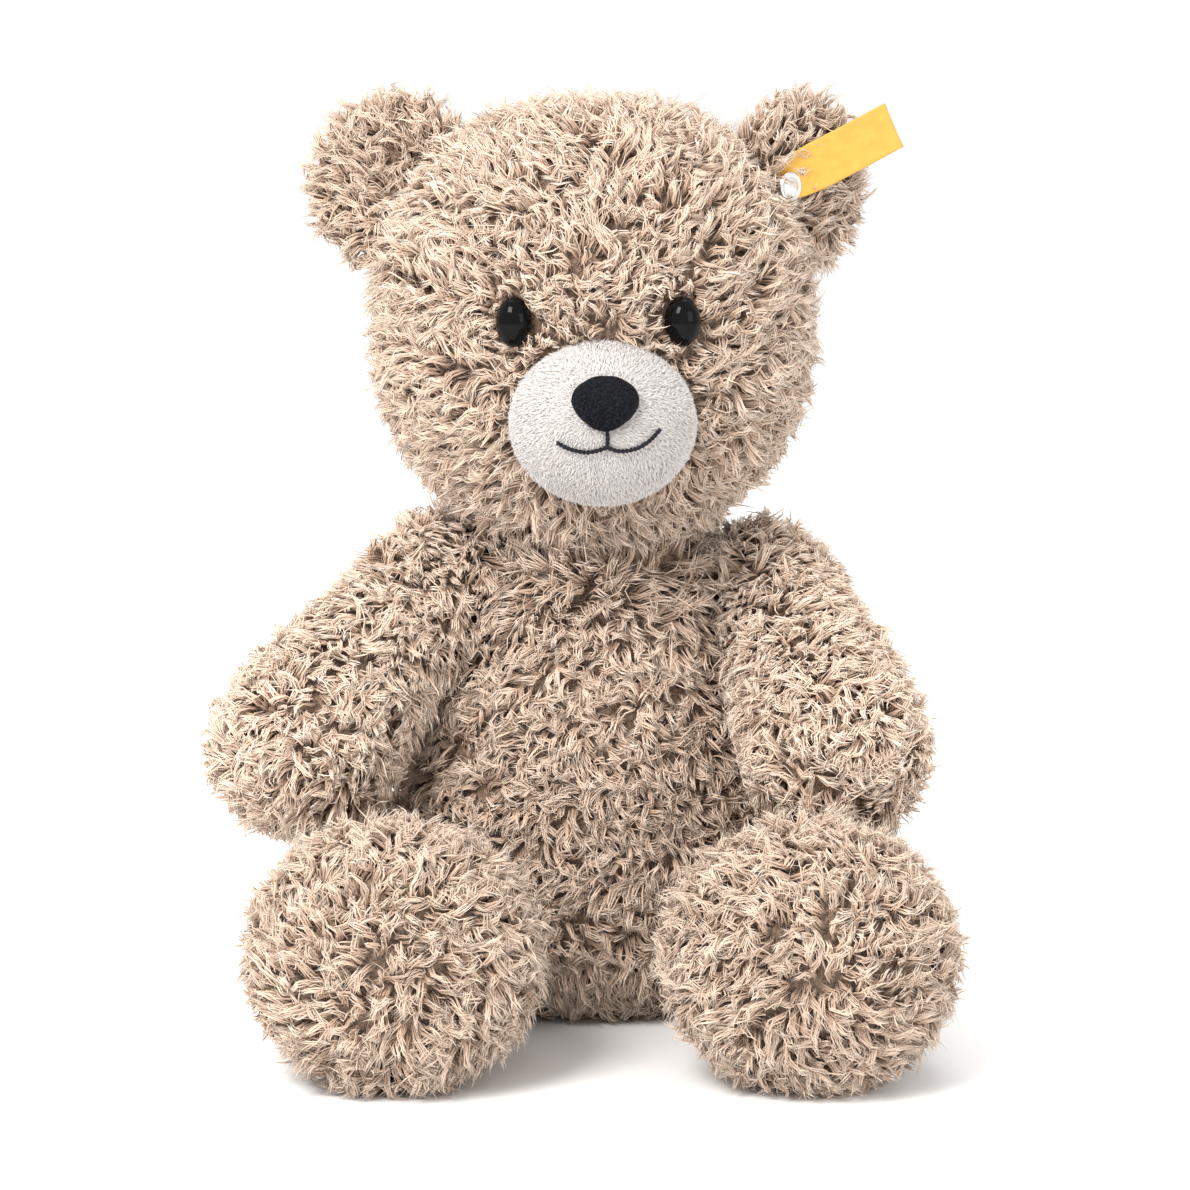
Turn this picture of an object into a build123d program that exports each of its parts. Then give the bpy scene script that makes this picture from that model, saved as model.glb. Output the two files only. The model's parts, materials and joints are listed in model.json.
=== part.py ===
from build123d import *
import os
from math import cos, sin, radians

# Jointed teddy bear, seated.  Millimetres, +Z up, seat on Z = 0.
# The bear faces -Y; its own left side is +X.

# ------------------------------------------------------------ driving sizes
PILE_WALL = 5.0          # backing cloth plus pile, as one thickness
FILL_GAP = 0.3           # filling to the inside of a cover
LAND = 0.2               # half of the gap between two facing joint lands
LAND_WALL = 2.0          # pressed-down cover at a joint land

# torso: height, centre x, centre y, half width, half depth
TORSO = [(0, -4, 0, 31, 20), (4, -4, 0, 43, 31), (9, -4, 0, 50, 37), (17, -4.2, -0.5, 56, 42),
         (32, -4.6, -1, 60.5, 46.3), (50, -5, -2, 61, 48), (66, -4.2, -2, 58, 47.3),
         (82, -2.8, -2, 53.2, 45), (100, -1.2, -1, 47.3, 41.3), (118, 0, 0, 41.5, 37),
         (130, 0, 0, 36.5, 33), (138, 0, 0, 31, 29), (141, 0, 0, 27, 26)]
TORSO_TOP = 141.0
TORSO_HOLLOW_TOP = 138.0

# head: height, centre y, half width, half depth
HEAD = [(141.4, -1, 21, 20), (144, -1, 26, 24.8), (149, -2, 33.5, 31.5), (156, -2.5, 42, 38.5),
        (165, -3, 50.5, 45), (176, -3.5, 57.5, 50.5), (188, -4, 62, 54), (202, -4, 64, 55.5),
        (216, -4, 64, 55.5), (230, -4, 62, 54), (242, -4, 58, 50.5), (252, -3.5, 52, 45.5),
        (260, -3, 44.5, 39.5), (266.5, -3, 35, 31.5), (271, -3, 24, 22), (273.2, -3, 13, 12)]
HEAD_X = -2.5
HEAD_YAW = 2.5
HEAD_BOTTOM = 141.4
HEAD_HOLLOW_BOTTOM = 144.0
NECK_X = -2.0

# muzzle, nose, mouth
MUZZLE_C = (0.4, -58.0, 185.0)
MUZZLE_R, MUZZLE_H = 27.6, 24.4
MUZZLE_WALL = 3.0
NOSE_C = (1.3, 193.8)
NOSE_W, NOSE_H = 19.4, 15.2
THREAD_R = 0.5

# eyes
EYE_C = [(-25.3, 213.5), (23.5, 213.5)]
EYE_W, EYE_H, EYE_DOME = 10.4, 13.9, 4.6
EYE_TURN = 14.0
EYE_POST_R, EYE_POST_L = 2.0, 10.5
EYE_WASHER_R, EYE_WASHER_T = 6.0, 2.0

# ears: centre x, y, z; radius; half thickness; outward turn
EAR_R = (-61.0, 4.0, 249.0)
EAR_L = (58.0, 6.5, 249.0)
EAR_RADIUS, EAR_HALF_T = 25.6, 8.0
EAR_R_TURN, EAR_L_TURN = -15.0, 42.0
BUTTON_R, BUTTON_T, RIVET_R = 4.5, 2.0, 1.3
BUTTON_BACK_R, BUTTON_BACK_T = 3.5, 1.2
TAG_L, TAG_W, TAG_T, TAG_RISE, TAG_TURN = 40.0, 14.5, 0.6, 29.0, 18.0

# arms, seen along the limb from its pivot: distance, offset from the land,
# half thickness across the land, half thickness in the swing plane
def arm_table(paw_offset):
    k = paw_offset - 20
    return [(-21.5, 14, 4.4, 4.6), (-20, 14, 10, 10.5), (-16, 14.5, 15.5, 16.5), (-8, 15.8, 19.2, 20.2),
            (3, 17, 20.8, 21.8), (18, 19, 21.6, 22.6), (34, 20.8 + k * 0.35, 22.6, 23.4),
            (49, 21 + k * 0.65, 24.4, 24.9), (62, 20.8 + k * 0.9, 26, 26.4),
            (72, 20.4 + k, 26.4, 26.8), (82, 20.4 + k, 24, 24.4), (89.5, 20.4 + k, 18.2, 18.7),
            (94, 20.4 + k, 10.3, 10.7), (95.3, 20.4 + k, 4.7, 4.9)]

SHOULDER_X, SHOULDER_Z = 35.0, 120.0
ARM_R_TILT, ARM_R_FLEX, ARM_R_PAW = 33.0, 37.0, 26.0
ARM_L_TILT, ARM_L_FLEX, ARM_L_PAW = 17.0, 57.0, 22.5
SHOULDER_RELIEF_R = 31.0
SHOULDER_DISC_R = 12.0

# legs: distance from the hip pivot, offset from the land, offset upwards,
# half width, half height
LEG = [(-32, 18.5, 2, 5.5, 5.3), (-30.3, 18.5, 2, 12.5, 12.2), (-26, 18.5, 2.2, 19, 18.6),
       (-18, 18.5, 2.4, 25, 24.5), (-7, 18.8, 2.5, 28.8, 28.3), (5, 19.2, 2.4, 29.4, 28.9),
       (18, 20, 1.8, 28.4, 27.9), (30, 20.6, 0.9, 26.4, 25.6), (42, 21.2, 0.7, 26.2, 24.8),
       (52, 21.5, 1.6, 28, 26.2), (66, 20.3, 5, 33.5, 30.8),
       (80, 18.5, 8.3, 38.5, 35.2), (94, 17.5, 10.2, 40.5, 37.2), (108, 17.5, 10.2, 39, 36),
       (118, 17.5, 10.2, 33.5, 31.4), (125, 17.5, 10.2, 25, 23.5), (129, 17.5, 10.2, 13.5, 13),
       (130, 17.5, 10.2, 7, 6.8)]
HIP_X, HIP_Y, HIP_Z = 42.0, -5.0, 27.0
HIP_RELIEF_R = 40.0
HIP_DISC_R = 13.0
SOLE_FROM = 114.0

# joint hardware, moulded plastic
SHANK_R = 3.5
SHANK_RUN = 0.05         # running clearance in the stationary disc
DISC_T = 2.2
WASHER_R, WASHER_T = 8.0, 3.0
NECK_DISC_R = 15.0
DISC_RUN = 0.3           # stationary disc to lock washer


# ---------------------------------------------------------------- helpers
def rings(stations, plane):
    """Placed ellipse sections; each station is (along, x, y, half x, half y)."""
    out = []
    for along, cx, cy, rx, ry in stations:
        with BuildSketch(plane.offset(along)) as ring:
            with Locations((cx, cy)):
                Ellipse(rx, ry)
        out.append(ring.sketch)
    return out


def inset(stations, wall, first, last):
    """Stations of the hollow inside a cover."""
    return [(s, x, y, rx - wall, ry - wall) for s, x, y, rx, ry in stations
            if first <= s <= last and min(rx, ry) - wall > 3.5]


def save(piece, name):
    piece.part.label = name
    export_step(piece.part, "parts/" + name + ".step")


os.makedirs("parts", exist_ok=True)

# ------------------------------------------------------------ station lists
torso_st = list(TORSO)
head_st = [(z, 0, cy, rx, ry) for z, cy, rx, ry in HEAD]
head_plane = Plane(origin=(HEAD_X, 0, 0), x_dir=(cos(radians(HEAD_YAW)), sin(radians(HEAD_YAW)), 0), z_dir=(0, 0, 1))


def limb_axes(side, tilt, flex):
    """Outward axle direction and the direction of the limb for one shoulder."""
    t, f = radians(tilt), radians(flex)
    axle = Vector(side * cos(t), 0, sin(t))
    hang = Vector(side * sin(t), 0, -cos(t))
    return axle, hang * cos(f) + Vector(0, -1, 0) * sin(f)


arm_r_axle, arm_r_dir = limb_axes(-1, ARM_R_TILT, ARM_R_FLEX)
arm_l_axle, arm_l_dir = limb_axes(1, ARM_L_TILT, ARM_L_FLEX)
shoulder_r = Vector(-SHOULDER_X, 0, SHOULDER_Z)
shoulder_l = Vector(SHOULDER_X, 0, SHOULDER_Z)
hip_r = Vector(-HIP_X, HIP_Y, HIP_Z)
hip_l = Vector(HIP_X, HIP_Y, HIP_Z)

# planes whose normal is the axle, pointing out of the body
shoulder_r_plane = Plane(origin=shoulder_r, x_dir=(0, 1, 0), z_dir=arm_r_axle)
shoulder_l_plane = Plane(origin=shoulder_l, x_dir=(0, 1, 0), z_dir=arm_l_axle)
hip_r_plane = Plane(origin=hip_r, x_dir=(0, 1, 0), z_dir=(-1, 0, 0))
hip_l_plane = Plane(origin=hip_l, x_dir=(0, 1, 0), z_dir=(1, 0, 0))
neck_plane = Plane(origin=(NECK_X, 0, HEAD_HOLLOW_BOTTOM), x_dir=(1, 0, 0), z_dir=(0, 0, 1))

# planes whose normal runs along the limb
arm_r_plane = Plane(origin=shoulder_r, x_dir=arm_r_axle, z_dir=arm_r_dir)
arm_l_plane = Plane(origin=shoulder_l, x_dir=arm_l_axle, z_dir=arm_l_dir)
leg_r_plane = Plane(origin=hip_r, x_dir=(1, 0, 0), z_dir=(0, -1, 0))
leg_l_plane = Plane(origin=hip_l, x_dir=(1, 0, 0), z_dir=(0, -1, 0))
arm_r_st = [(s, x, 0, rx, ry) for s, x, rx, ry in arm_table(ARM_R_PAW)]
arm_l_st = [(s, x, 0, rx, ry) for s, x, rx, ry in arm_table(ARM_L_PAW)]
leg_r_st = [(s, -x, y, rx, ry) for s, x, y, rx, ry in LEG]
leg_l_st = [(s, x, y, rx, ry) for s, x, y, rx, ry in LEG]

LIMB_LANDS = [(shoulder_r_plane, SHOULDER_RELIEF_R, SHOULDER_DISC_R),
              (shoulder_l_plane, SHOULDER_RELIEF_R, SHOULDER_DISC_R),
              (hip_r_plane, HIP_RELIEF_R, HIP_DISC_R), (hip_l_plane, HIP_RELIEF_R, HIP_DISC_R)]

# ------------------------------------------------------------------- torso
with BuildPart() as torso_outside:
    loft(sections=rings(torso_st, Plane.XY))
    for land, relief, disc in LIMB_LANDS:
        with BuildSketch(land.offset(-LAND)):
            Circle(relief)
        extrude(amount=45, mode=Mode.SUBTRACT)

with BuildPart() as torso_hollow:
    loft(sections=rings(inset(torso_st, PILE_WALL, 3, TORSO_HOLLOW_TOP), Plane.XY))
    for land, relief, disc in LIMB_LANDS:
        with BuildSketch(land.offset(-LAND - LAND_WALL)):
            Circle(relief + LAND_WALL)
        extrude(amount=45, mode=Mode.SUBTRACT)
        with BuildSketch(land.offset(-LAND - LAND_WALL)):
            Circle(disc + 0.3)
        extrude(amount=-DISC_T - 2)

with BuildPart() as torso_cover:
    add(torso_outside.part)
    add(torso_hollow.part, mode=Mode.SUBTRACT)
    for land, relief, disc in LIMB_LANDS:
        with BuildSketch(land.offset(-LAND - LAND_WALL - 1)):
            Circle(SHANK_R + 0.3)
        extrude(amount=6, mode=Mode.SUBTRACT)
    with BuildSketch(neck_plane.offset(-10)):
        Circle(SHANK_R + 0.3)
    extrude(amount=9, mode=Mode.SUBTRACT)

with BuildPart() as torso_cover_left:
    add(torso_cover.part)
    split(bisect_by=Plane.YZ, keep=Keep.TOP)
save(torso_cover_left, "torso_cover_left")

with BuildPart() as torso_cover_right:
    add(torso_cover.part)
    split(bisect_by=Plane.YZ, keep=Keep.BOTTOM)
save(torso_cover_right, "torso_cover_right")

with BuildPart() as torso_stuffing:
    loft(sections=rings([(s + (0.4 if s < 5 else (-0.6 if s > 137 else 0)), x, y, rx, ry)
                         for s, x, y, rx, ry in inset(torso_st, PILE_WALL + FILL_GAP, 3, TORSO_HOLLOW_TOP)], Plane.XY))
    for land, relief, disc in LIMB_LANDS:
        with BuildSketch(land.offset(-LAND - LAND_WALL - FILL_GAP)):
            Circle(relief + LAND_WALL + FILL_GAP)
        extrude(amount=45, mode=Mode.SUBTRACT)
        with BuildSketch(land.offset(-LAND - LAND_WALL - DISC_T - DISC_RUN)):
            Circle(disc + 0.5)
        extrude(amount=8, mode=Mode.SUBTRACT)
        with BuildSketch(land.offset(-LAND - LAND_WALL - DISC_T - DISC_RUN - WASHER_T - 3.0)):
            Circle(WASHER_R + 0.5)
        extrude(amount=8, mode=Mode.SUBTRACT)
    with BuildSketch(Plane(origin=(NECK_X, 0, TORSO_HOLLOW_TOP - DISC_T - DISC_RUN))):
        Circle(NECK_DISC_R + 0.5)
    extrude(amount=8, mode=Mode.SUBTRACT)
    with BuildSketch(Plane(origin=(NECK_X, 0, TORSO_HOLLOW_TOP - DISC_T - DISC_RUN - WASHER_T - 3.0))):
        Circle(WASHER_R + 0.5)
    extrude(amount=8, mode=Mode.SUBTRACT)
save(torso_stuffing, "torso_stuffing")

# ---------------------------------------------- joint hardware at the limbs
# stationary disc: on the torso side of each limb, with a running bore
with BuildPart() as right_shoulder_stationary_disc:
    with BuildSketch(shoulder_r_plane.offset(-LAND - LAND_WALL - DISC_T)):
        Circle(SHOULDER_DISC_R)
        Circle(SHANK_R + SHANK_RUN, mode=Mode.SUBTRACT)
    extrude(amount=DISC_T)
save(right_shoulder_stationary_disc, "right_shoulder_stationary_disc")

with BuildPart() as left_shoulder_stationary_disc:
    with BuildSketch(shoulder_l_plane.offset(-LAND - LAND_WALL - DISC_T)):
        Circle(SHOULDER_DISC_R)
        Circle(SHANK_R + SHANK_RUN, mode=Mode.SUBTRACT)
    extrude(amount=DISC_T)
save(left_shoulder_stationary_disc, "left_shoulder_stationary_disc")

with BuildPart() as right_hip_stationary_disc:
    with BuildSketch(hip_r_plane.offset(-LAND - LAND_WALL - DISC_T)):
        Circle(HIP_DISC_R)
        Circle(SHANK_R + SHANK_RUN, mode=Mode.SUBTRACT)
    extrude(amount=DISC_T)
save(right_hip_stationary_disc, "right_hip_stationary_disc")

with BuildPart() as left_hip_stationary_disc:
    with BuildSketch(hip_l_plane.offset(-LAND - LAND_WALL - DISC_T)):
        Circle(HIP_DISC_R)
        Circle(SHANK_R + SHANK_RUN, mode=Mode.SUBTRACT)
    extrude(amount=DISC_T)
save(left_hip_stationary_disc, "left_hip_stationary_disc")

with BuildPart() as neck_stationary_disc:
    with BuildSketch(Plane(origin=(NECK_X, 0, TORSO_HOLLOW_TOP - DISC_T))):
        Circle(NECK_DISC_R)
        Circle(SHANK_R + SHANK_RUN, mode=Mode.SUBTRACT)
    extrude(amount=DISC_T)
save(neck_stationary_disc, "neck_stationary_disc")

# shank disc: a disc inside the limb with its shank through both covers
SHANK_L = LAND_WALL + 2 * LAND + LAND_WALL + DISC_T + DISC_RUN + WASHER_T + 1.5
with BuildPart() as right_arm_shank_disc:
    with BuildSketch(shoulder_r_plane.offset(LAND + LAND_WALL)):
        Circle(SHOULDER_DISC_R)
    extrude(amount=DISC_T)
    with BuildSketch(shoulder_r_plane.offset(LAND + LAND_WALL - SHANK_L)):
        Circle(SHANK_R)
    extrude(amount=SHANK_L + 1)
save(right_arm_shank_disc, "right_arm_shank_disc")

with BuildPart() as left_arm_shank_disc:
    with BuildSketch(shoulder_l_plane.offset(LAND + LAND_WALL)):
        Circle(SHOULDER_DISC_R)
    extrude(amount=DISC_T)
    with BuildSketch(shoulder_l_plane.offset(LAND + LAND_WALL - SHANK_L)):
        Circle(SHANK_R)
    extrude(amount=SHANK_L + 1)
save(left_arm_shank_disc, "left_arm_shank_disc")

with BuildPart() as right_leg_shank_disc:
    with BuildSketch(hip_r_plane.offset(LAND + LAND_WALL)):
        Circle(HIP_DISC_R)
    extrude(amount=DISC_T)
    with BuildSketch(hip_r_plane.offset(LAND + LAND_WALL - SHANK_L)):
        Circle(SHANK_R)
    extrude(amount=SHANK_L + 1)
save(right_leg_shank_disc, "right_leg_shank_disc")

with BuildPart() as left_leg_shank_disc:
    with BuildSketch(hip_l_plane.offset(LAND + LAND_WALL)):
        Circle(HIP_DISC_R)
    extrude(amount=DISC_T)
    with BuildSketch(hip_l_plane.offset(LAND + LAND_WALL - SHANK_L)):
        Circle(SHANK_R)
    extrude(amount=SHANK_L + 1)
save(left_leg_shank_disc, "left_leg_shank_disc")

NECK_SHANK_END = TORSO_HOLLOW_TOP - DISC_T - DISC_RUN - WASHER_T - 1.5
with BuildPart() as neck_shank_disc:
    with BuildSketch(neck_plane):
        Circle(NECK_DISC_R)
    extrude(amount=DISC_T)
    with BuildSketch(Plane(origin=(NECK_X, 0, NECK_SHANK_END))):
        Circle(SHANK_R)
    extrude(amount=HEAD_HOLLOW_BOTTOM - NECK_SHANK_END + 1)
save(neck_shank_disc, "neck_shank_disc")

# lock washer: pressed on the end of each shank, inside the torso
with BuildPart() as right_arm_lock_washer:
    with BuildSketch(shoulder_r_plane.offset(-LAND - LAND_WALL - DISC_T - DISC_RUN - WASHER_T)):
        Circle(WASHER_R)
        Circle(SHANK_R, mode=Mode.SUBTRACT)
    extrude(amount=WASHER_T)
save(right_arm_lock_washer, "right_arm_lock_washer")

with BuildPart() as left_arm_lock_washer:
    with BuildSketch(shoulder_l_plane.offset(-LAND - LAND_WALL - DISC_T - DISC_RUN - WASHER_T)):
        Circle(WASHER_R)
        Circle(SHANK_R, mode=Mode.SUBTRACT)
    extrude(amount=WASHER_T)
save(left_arm_lock_washer, "left_arm_lock_washer")

with BuildPart() as right_leg_lock_washer:
    with BuildSketch(hip_r_plane.offset(-LAND - LAND_WALL - DISC_T - DISC_RUN - WASHER_T)):
        Circle(WASHER_R)
        Circle(SHANK_R, mode=Mode.SUBTRACT)
    extrude(amount=WASHER_T)
save(right_leg_lock_washer, "right_leg_lock_washer")

with BuildPart() as left_leg_lock_washer:
    with BuildSketch(hip_l_plane.offset(-LAND - LAND_WALL - DISC_T - DISC_RUN - WASHER_T)):
        Circle(WASHER_R)
        Circle(SHANK_R, mode=Mode.SUBTRACT)
    extrude(amount=WASHER_T)
save(left_leg_lock_washer, "left_leg_lock_washer")

with BuildPart() as neck_lock_washer:
    with BuildSketch(Plane(origin=(NECK_X, 0, TORSO_HOLLOW_TOP - DISC_T - DISC_RUN - WASHER_T))):
        Circle(WASHER_R)
        Circle(SHANK_R, mode=Mode.SUBTRACT)
    extrude(amount=WASHER_T)
save(neck_lock_washer, "neck_lock_washer")


# -------------------------------------------------------------------- arms
def limb_outside(stations, plane, land, reach):
    """Outer solid of a limb, flattened against its joint land up to reach."""
    with BuildPart() as body:
        loft(sections=rings(stations, plane))
        with BuildSketch(Plane(origin=plane.origin - plane.z_dir * 60 + land.z_dir * LAND, x_dir=plane.z_dir, z_dir=land.z_dir)):
            with Locations(((60 + reach) / 2, 0)):
                Rectangle(60 + reach, 160)
        extrude(amount=-80, mode=Mode.SUBTRACT)
    return body.part


def limb_hollow(stations, plane, land, reach, last, gap, disc, first=-19.5):
    """Hollow of a limb; gap is extra clearance for the filling."""
    with BuildPart() as body:
        loft(sections=rings(inset(stations, PILE_WALL + gap, first, last), plane))
        with BuildSketch(Plane(origin=plane.origin - plane.z_dir * 60 + land.z_dir * (LAND + LAND_WALL + gap), x_dir=plane.z_dir, z_dir=land.z_dir)):
            with Locations(((60 + reach) / 2, 0)):
                Rectangle(60 + reach, 160)
        extrude(amount=-80, mode=Mode.SUBTRACT)
        if gap == 0:
            with BuildSketch(land.offset(LAND + LAND_WALL)):
                Circle(disc + 0.3)
            extrude(amount=8)
    return body.part


ARM_REACH, LEG_REACH = 110.0, 48.0
ARM_SEAM, LEG_SEAM = 21.0, 21.0

right_arm_outside = limb_outside(arm_r_st, arm_r_plane, shoulder_r_plane, ARM_REACH)
left_arm_outside = limb_outside(arm_l_st, arm_l_plane, shoulder_l_plane, ARM_REACH)
right_arm_hollow = limb_hollow(arm_r_st, arm_r_plane, shoulder_r_plane, ARM_REACH, 90, 0, SHOULDER_DISC_R)
left_arm_hollow = limb_hollow(arm_l_st, arm_l_plane, shoulder_l_plane, ARM_REACH, 90, 0, SHOULDER_DISC_R)
right_leg_outside = limb_outside(leg_r_st, leg_r_plane, hip_r_plane, LEG_REACH)
left_leg_outside = limb_outside(leg_l_st, leg_l_plane, hip_l_plane, LEG_REACH)
right_leg_hollow = limb_hollow(leg_r_st, leg_r_plane, hip_r_plane, LEG_REACH, 126, 0, HIP_DISC_R, -27)
left_leg_hollow = limb_hollow(leg_l_st, leg_l_plane, hip_l_plane, LEG_REACH, 126, 0, HIP_DISC_R, -27)

with BuildPart() as right_arm_cover:
    add(right_arm_outside)
    add(right_arm_hollow, mode=Mode.SUBTRACT)
    with BuildSketch(shoulder_r_plane):
        Circle(SHANK_R + 0.3)
    extrude(amount=LAND + LAND_WALL + 1, mode=Mode.SUBTRACT)
with BuildPart() as right_arm_cover_outer:
    add(right_arm_cover.part)
    split(bisect_by=shoulder_r_plane.offset(ARM_SEAM), keep=Keep.TOP)
save(right_arm_cover_outer, "right_arm_cover_outer")
with BuildPart() as right_arm_cover_inner:
    add(right_arm_cover.part)
    split(bisect_by=shoulder_r_plane.offset(ARM_SEAM), keep=Keep.BOTTOM)
save(right_arm_cover_inner, "right_arm_cover_inner")
with BuildPart() as right_arm_stuffing:
    add(limb_hollow(arm_r_st, arm_r_plane, shoulder_r_plane, ARM_REACH, 90, FILL_GAP, SHOULDER_DISC_R))
    with BuildSketch(shoulder_r_plane):
        Circle(SHOULDER_DISC_R + 0.5)
    extrude(amount=LAND + LAND_WALL + DISC_T + FILL_GAP, mode=Mode.SUBTRACT)
save(right_arm_stuffing, "right_arm_stuffing")

with BuildPart() as left_arm_cover:
    add(left_arm_outside)
    add(left_arm_hollow, mode=Mode.SUBTRACT)
    with BuildSketch(shoulder_l_plane):
        Circle(SHANK_R + 0.3)
    extrude(amount=LAND + LAND_WALL + 1, mode=Mode.SUBTRACT)
with BuildPart() as left_arm_cover_outer:
    add(left_arm_cover.part)
    split(bisect_by=shoulder_l_plane.offset(ARM_SEAM), keep=Keep.TOP)
save(left_arm_cover_outer, "left_arm_cover_outer")
with BuildPart() as left_arm_cover_inner:
    add(left_arm_cover.part)
    split(bisect_by=shoulder_l_plane.offset(ARM_SEAM), keep=Keep.BOTTOM)
save(left_arm_cover_inner, "left_arm_cover_inner")
with BuildPart() as left_arm_stuffing:
    add(limb_hollow(arm_l_st, arm_l_plane, shoulder_l_plane, ARM_REACH, 90, FILL_GAP, SHOULDER_DISC_R))
    with BuildSketch(shoulder_l_plane):
        Circle(SHOULDER_DISC_R + 0.5)
    extrude(amount=LAND + LAND_WALL + DISC_T + FILL_GAP, mode=Mode.SUBTRACT)
save(left_arm_stuffing, "left_arm_stuffing")

# -------------------------------------------------------------------- legs
FLOOR = Plane.XY
with BuildPart() as right_leg_cover:
    add(right_leg_outside)
    split(bisect_by=FLOOR, keep=Keep.TOP)
    add(right_leg_hollow, mode=Mode.SUBTRACT)
    with BuildSketch(hip_r_plane):
        Circle(SHANK_R + 0.3)
    extrude(amount=LAND + LAND_WALL + 1, mode=Mode.SUBTRACT)
with BuildPart() as right_leg_sole:
    add(right_leg_cover.part)
    split(bisect_by=leg_r_plane.offset(SOLE_FROM), keep=Keep.TOP)
save(right_leg_sole, "right_leg_sole")
with BuildPart() as right_leg_cover_outer:
    add(right_leg_cover.part)
    split(bisect_by=leg_r_plane.offset(SOLE_FROM), keep=Keep.BOTTOM)
    split(bisect_by=hip_r_plane.offset(LEG_SEAM), keep=Keep.TOP)
save(right_leg_cover_outer, "right_leg_cover_outer")
with BuildPart() as right_leg_cover_inner:
    add(right_leg_cover.part)
    split(bisect_by=leg_r_plane.offset(SOLE_FROM), keep=Keep.BOTTOM)
    split(bisect_by=hip_r_plane.offset(LEG_SEAM), keep=Keep.BOTTOM)
save(right_leg_cover_inner, "right_leg_cover_inner")
with BuildPart() as right_leg_stuffing:
    add(limb_hollow(leg_r_st, leg_r_plane, hip_r_plane, LEG_REACH, 126, FILL_GAP, HIP_DISC_R, -27))
    split(bisect_by=leg_r_plane.offset(124.7), keep=Keep.BOTTOM)
    with BuildSketch(hip_r_plane):
        Circle(HIP_DISC_R + 0.5)
    extrude(amount=LAND + LAND_WALL + DISC_T + FILL_GAP, mode=Mode.SUBTRACT)
save(right_leg_stuffing, "right_leg_stuffing")

with BuildPart() as left_leg_cover:
    add(left_leg_outside)
    split(bisect_by=FLOOR, keep=Keep.TOP)
    add(left_leg_hollow, mode=Mode.SUBTRACT)
    with BuildSketch(hip_l_plane):
        Circle(SHANK_R + 0.3)
    extrude(amount=LAND + LAND_WALL + 1, mode=Mode.SUBTRACT)
with BuildPart() as left_leg_sole:
    add(left_leg_cover.part)
    split(bisect_by=leg_l_plane.offset(SOLE_FROM), keep=Keep.TOP)
save(left_leg_sole, "left_leg_sole")
with BuildPart() as left_leg_cover_outer:
    add(left_leg_cover.part)
    split(bisect_by=leg_l_plane.offset(SOLE_FROM), keep=Keep.BOTTOM)
    split(bisect_by=hip_l_plane.offset(LEG_SEAM), keep=Keep.TOP)
save(left_leg_cover_outer, "left_leg_cover_outer")
with BuildPart() as left_leg_cover_inner:
    add(left_leg_cover.part)
    split(bisect_by=leg_l_plane.offset(SOLE_FROM), keep=Keep.BOTTOM)
    split(bisect_by=hip_l_plane.offset(LEG_SEAM), keep=Keep.BOTTOM)
save(left_leg_cover_inner, "left_leg_cover_inner")
with BuildPart() as left_leg_stuffing:
    add(limb_hollow(leg_l_st, leg_l_plane, hip_l_plane, LEG_REACH, 126, FILL_GAP, HIP_DISC_R, -27))
    split(bisect_by=leg_l_plane.offset(124.7), keep=Keep.BOTTOM)
    with BuildSketch(hip_l_plane):
        Circle(HIP_DISC_R + 0.5)
    extrude(amount=LAND + LAND_WALL + DISC_T + FILL_GAP, mode=Mode.SUBTRACT)
save(left_leg_stuffing, "left_leg_stuffing")

# -------------------------------------------------------------------- head
with BuildPart() as head_outside:
    loft(sections=rings(head_st, head_plane))

with BuildPart() as head_hollow:
    loft(sections=rings(inset(head_st, PILE_WALL, HEAD_HOLLOW_BOTTOM, 272), head_plane))

# eyes: oval dome, post through the cover, washer inside
eye_planes = []
for eye_x, eye_z in EYE_C:
    turn = radians(EYE_TURN if eye_x > 0 else -EYE_TURN)
    u = (eye_x - HEAD_X) / 64.0
    eye_y = -4 - 55.5 * (1 - u * u) ** 0.5
    eye_planes.append(Plane(origin=(eye_x, eye_y, eye_z), x_dir=(cos(turn), sin(turn), 0), z_dir=(sin(turn), -cos(turn), 0)))
eye_st = [(0, 0, 0, EYE_W / 2, EYE_H / 2), (1.2, 0, 0, EYE_W / 2 * 0.98, EYE_H / 2 * 0.98),
          (2.6, 0, 0, EYE_W / 2 * 0.85, EYE_H / 2 * 0.85), (3.8, 0, 0, EYE_W / 2 * 0.6, EYE_H / 2 * 0.6),
          (4.4, 0, 0, EYE_W / 2 * 0.35, EYE_H / 2 * 0.35), (EYE_DOME, 0, 0, EYE_W / 2 * 0.15, EYE_H / 2 * 0.15)]

with BuildPart() as right_eye:
    loft(sections=rings(eye_st, eye_planes[0]))
    with BuildSketch(eye_planes[0]):
        Circle(EYE_POST_R)
    extrude(amount=-EYE_POST_L)
save(right_eye, "right_eye")

with BuildPart() as left_eye:
    loft(sections=rings(eye_st, eye_planes[1]))
    with BuildSketch(eye_planes[1]):
        Circle(EYE_POST_R)
    extrude(amount=-EYE_POST_L)
save(left_eye, "left_eye")

EYE_WASHER_AT = -9.0
with BuildPart() as right_eye_washer:
    with BuildSketch(eye_planes[0].offset(EYE_WASHER_AT)):
        Circle(EYE_WASHER_R)
        Circle(EYE_POST_R, mode=Mode.SUBTRACT)
    extrude(amount=EYE_WASHER_T)
save(right_eye_washer, "right_eye_washer")

with BuildPart() as left_eye_washer:
    with BuildSketch(eye_planes[1].offset(EYE_WASHER_AT)):
        Circle(EYE_WASHER_R)
        Circle(EYE_POST_R, mode=Mode.SUBTRACT)
    extrude(amount=EYE_WASHER_T)
save(left_eye_washer, "left_eye_washer")

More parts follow.
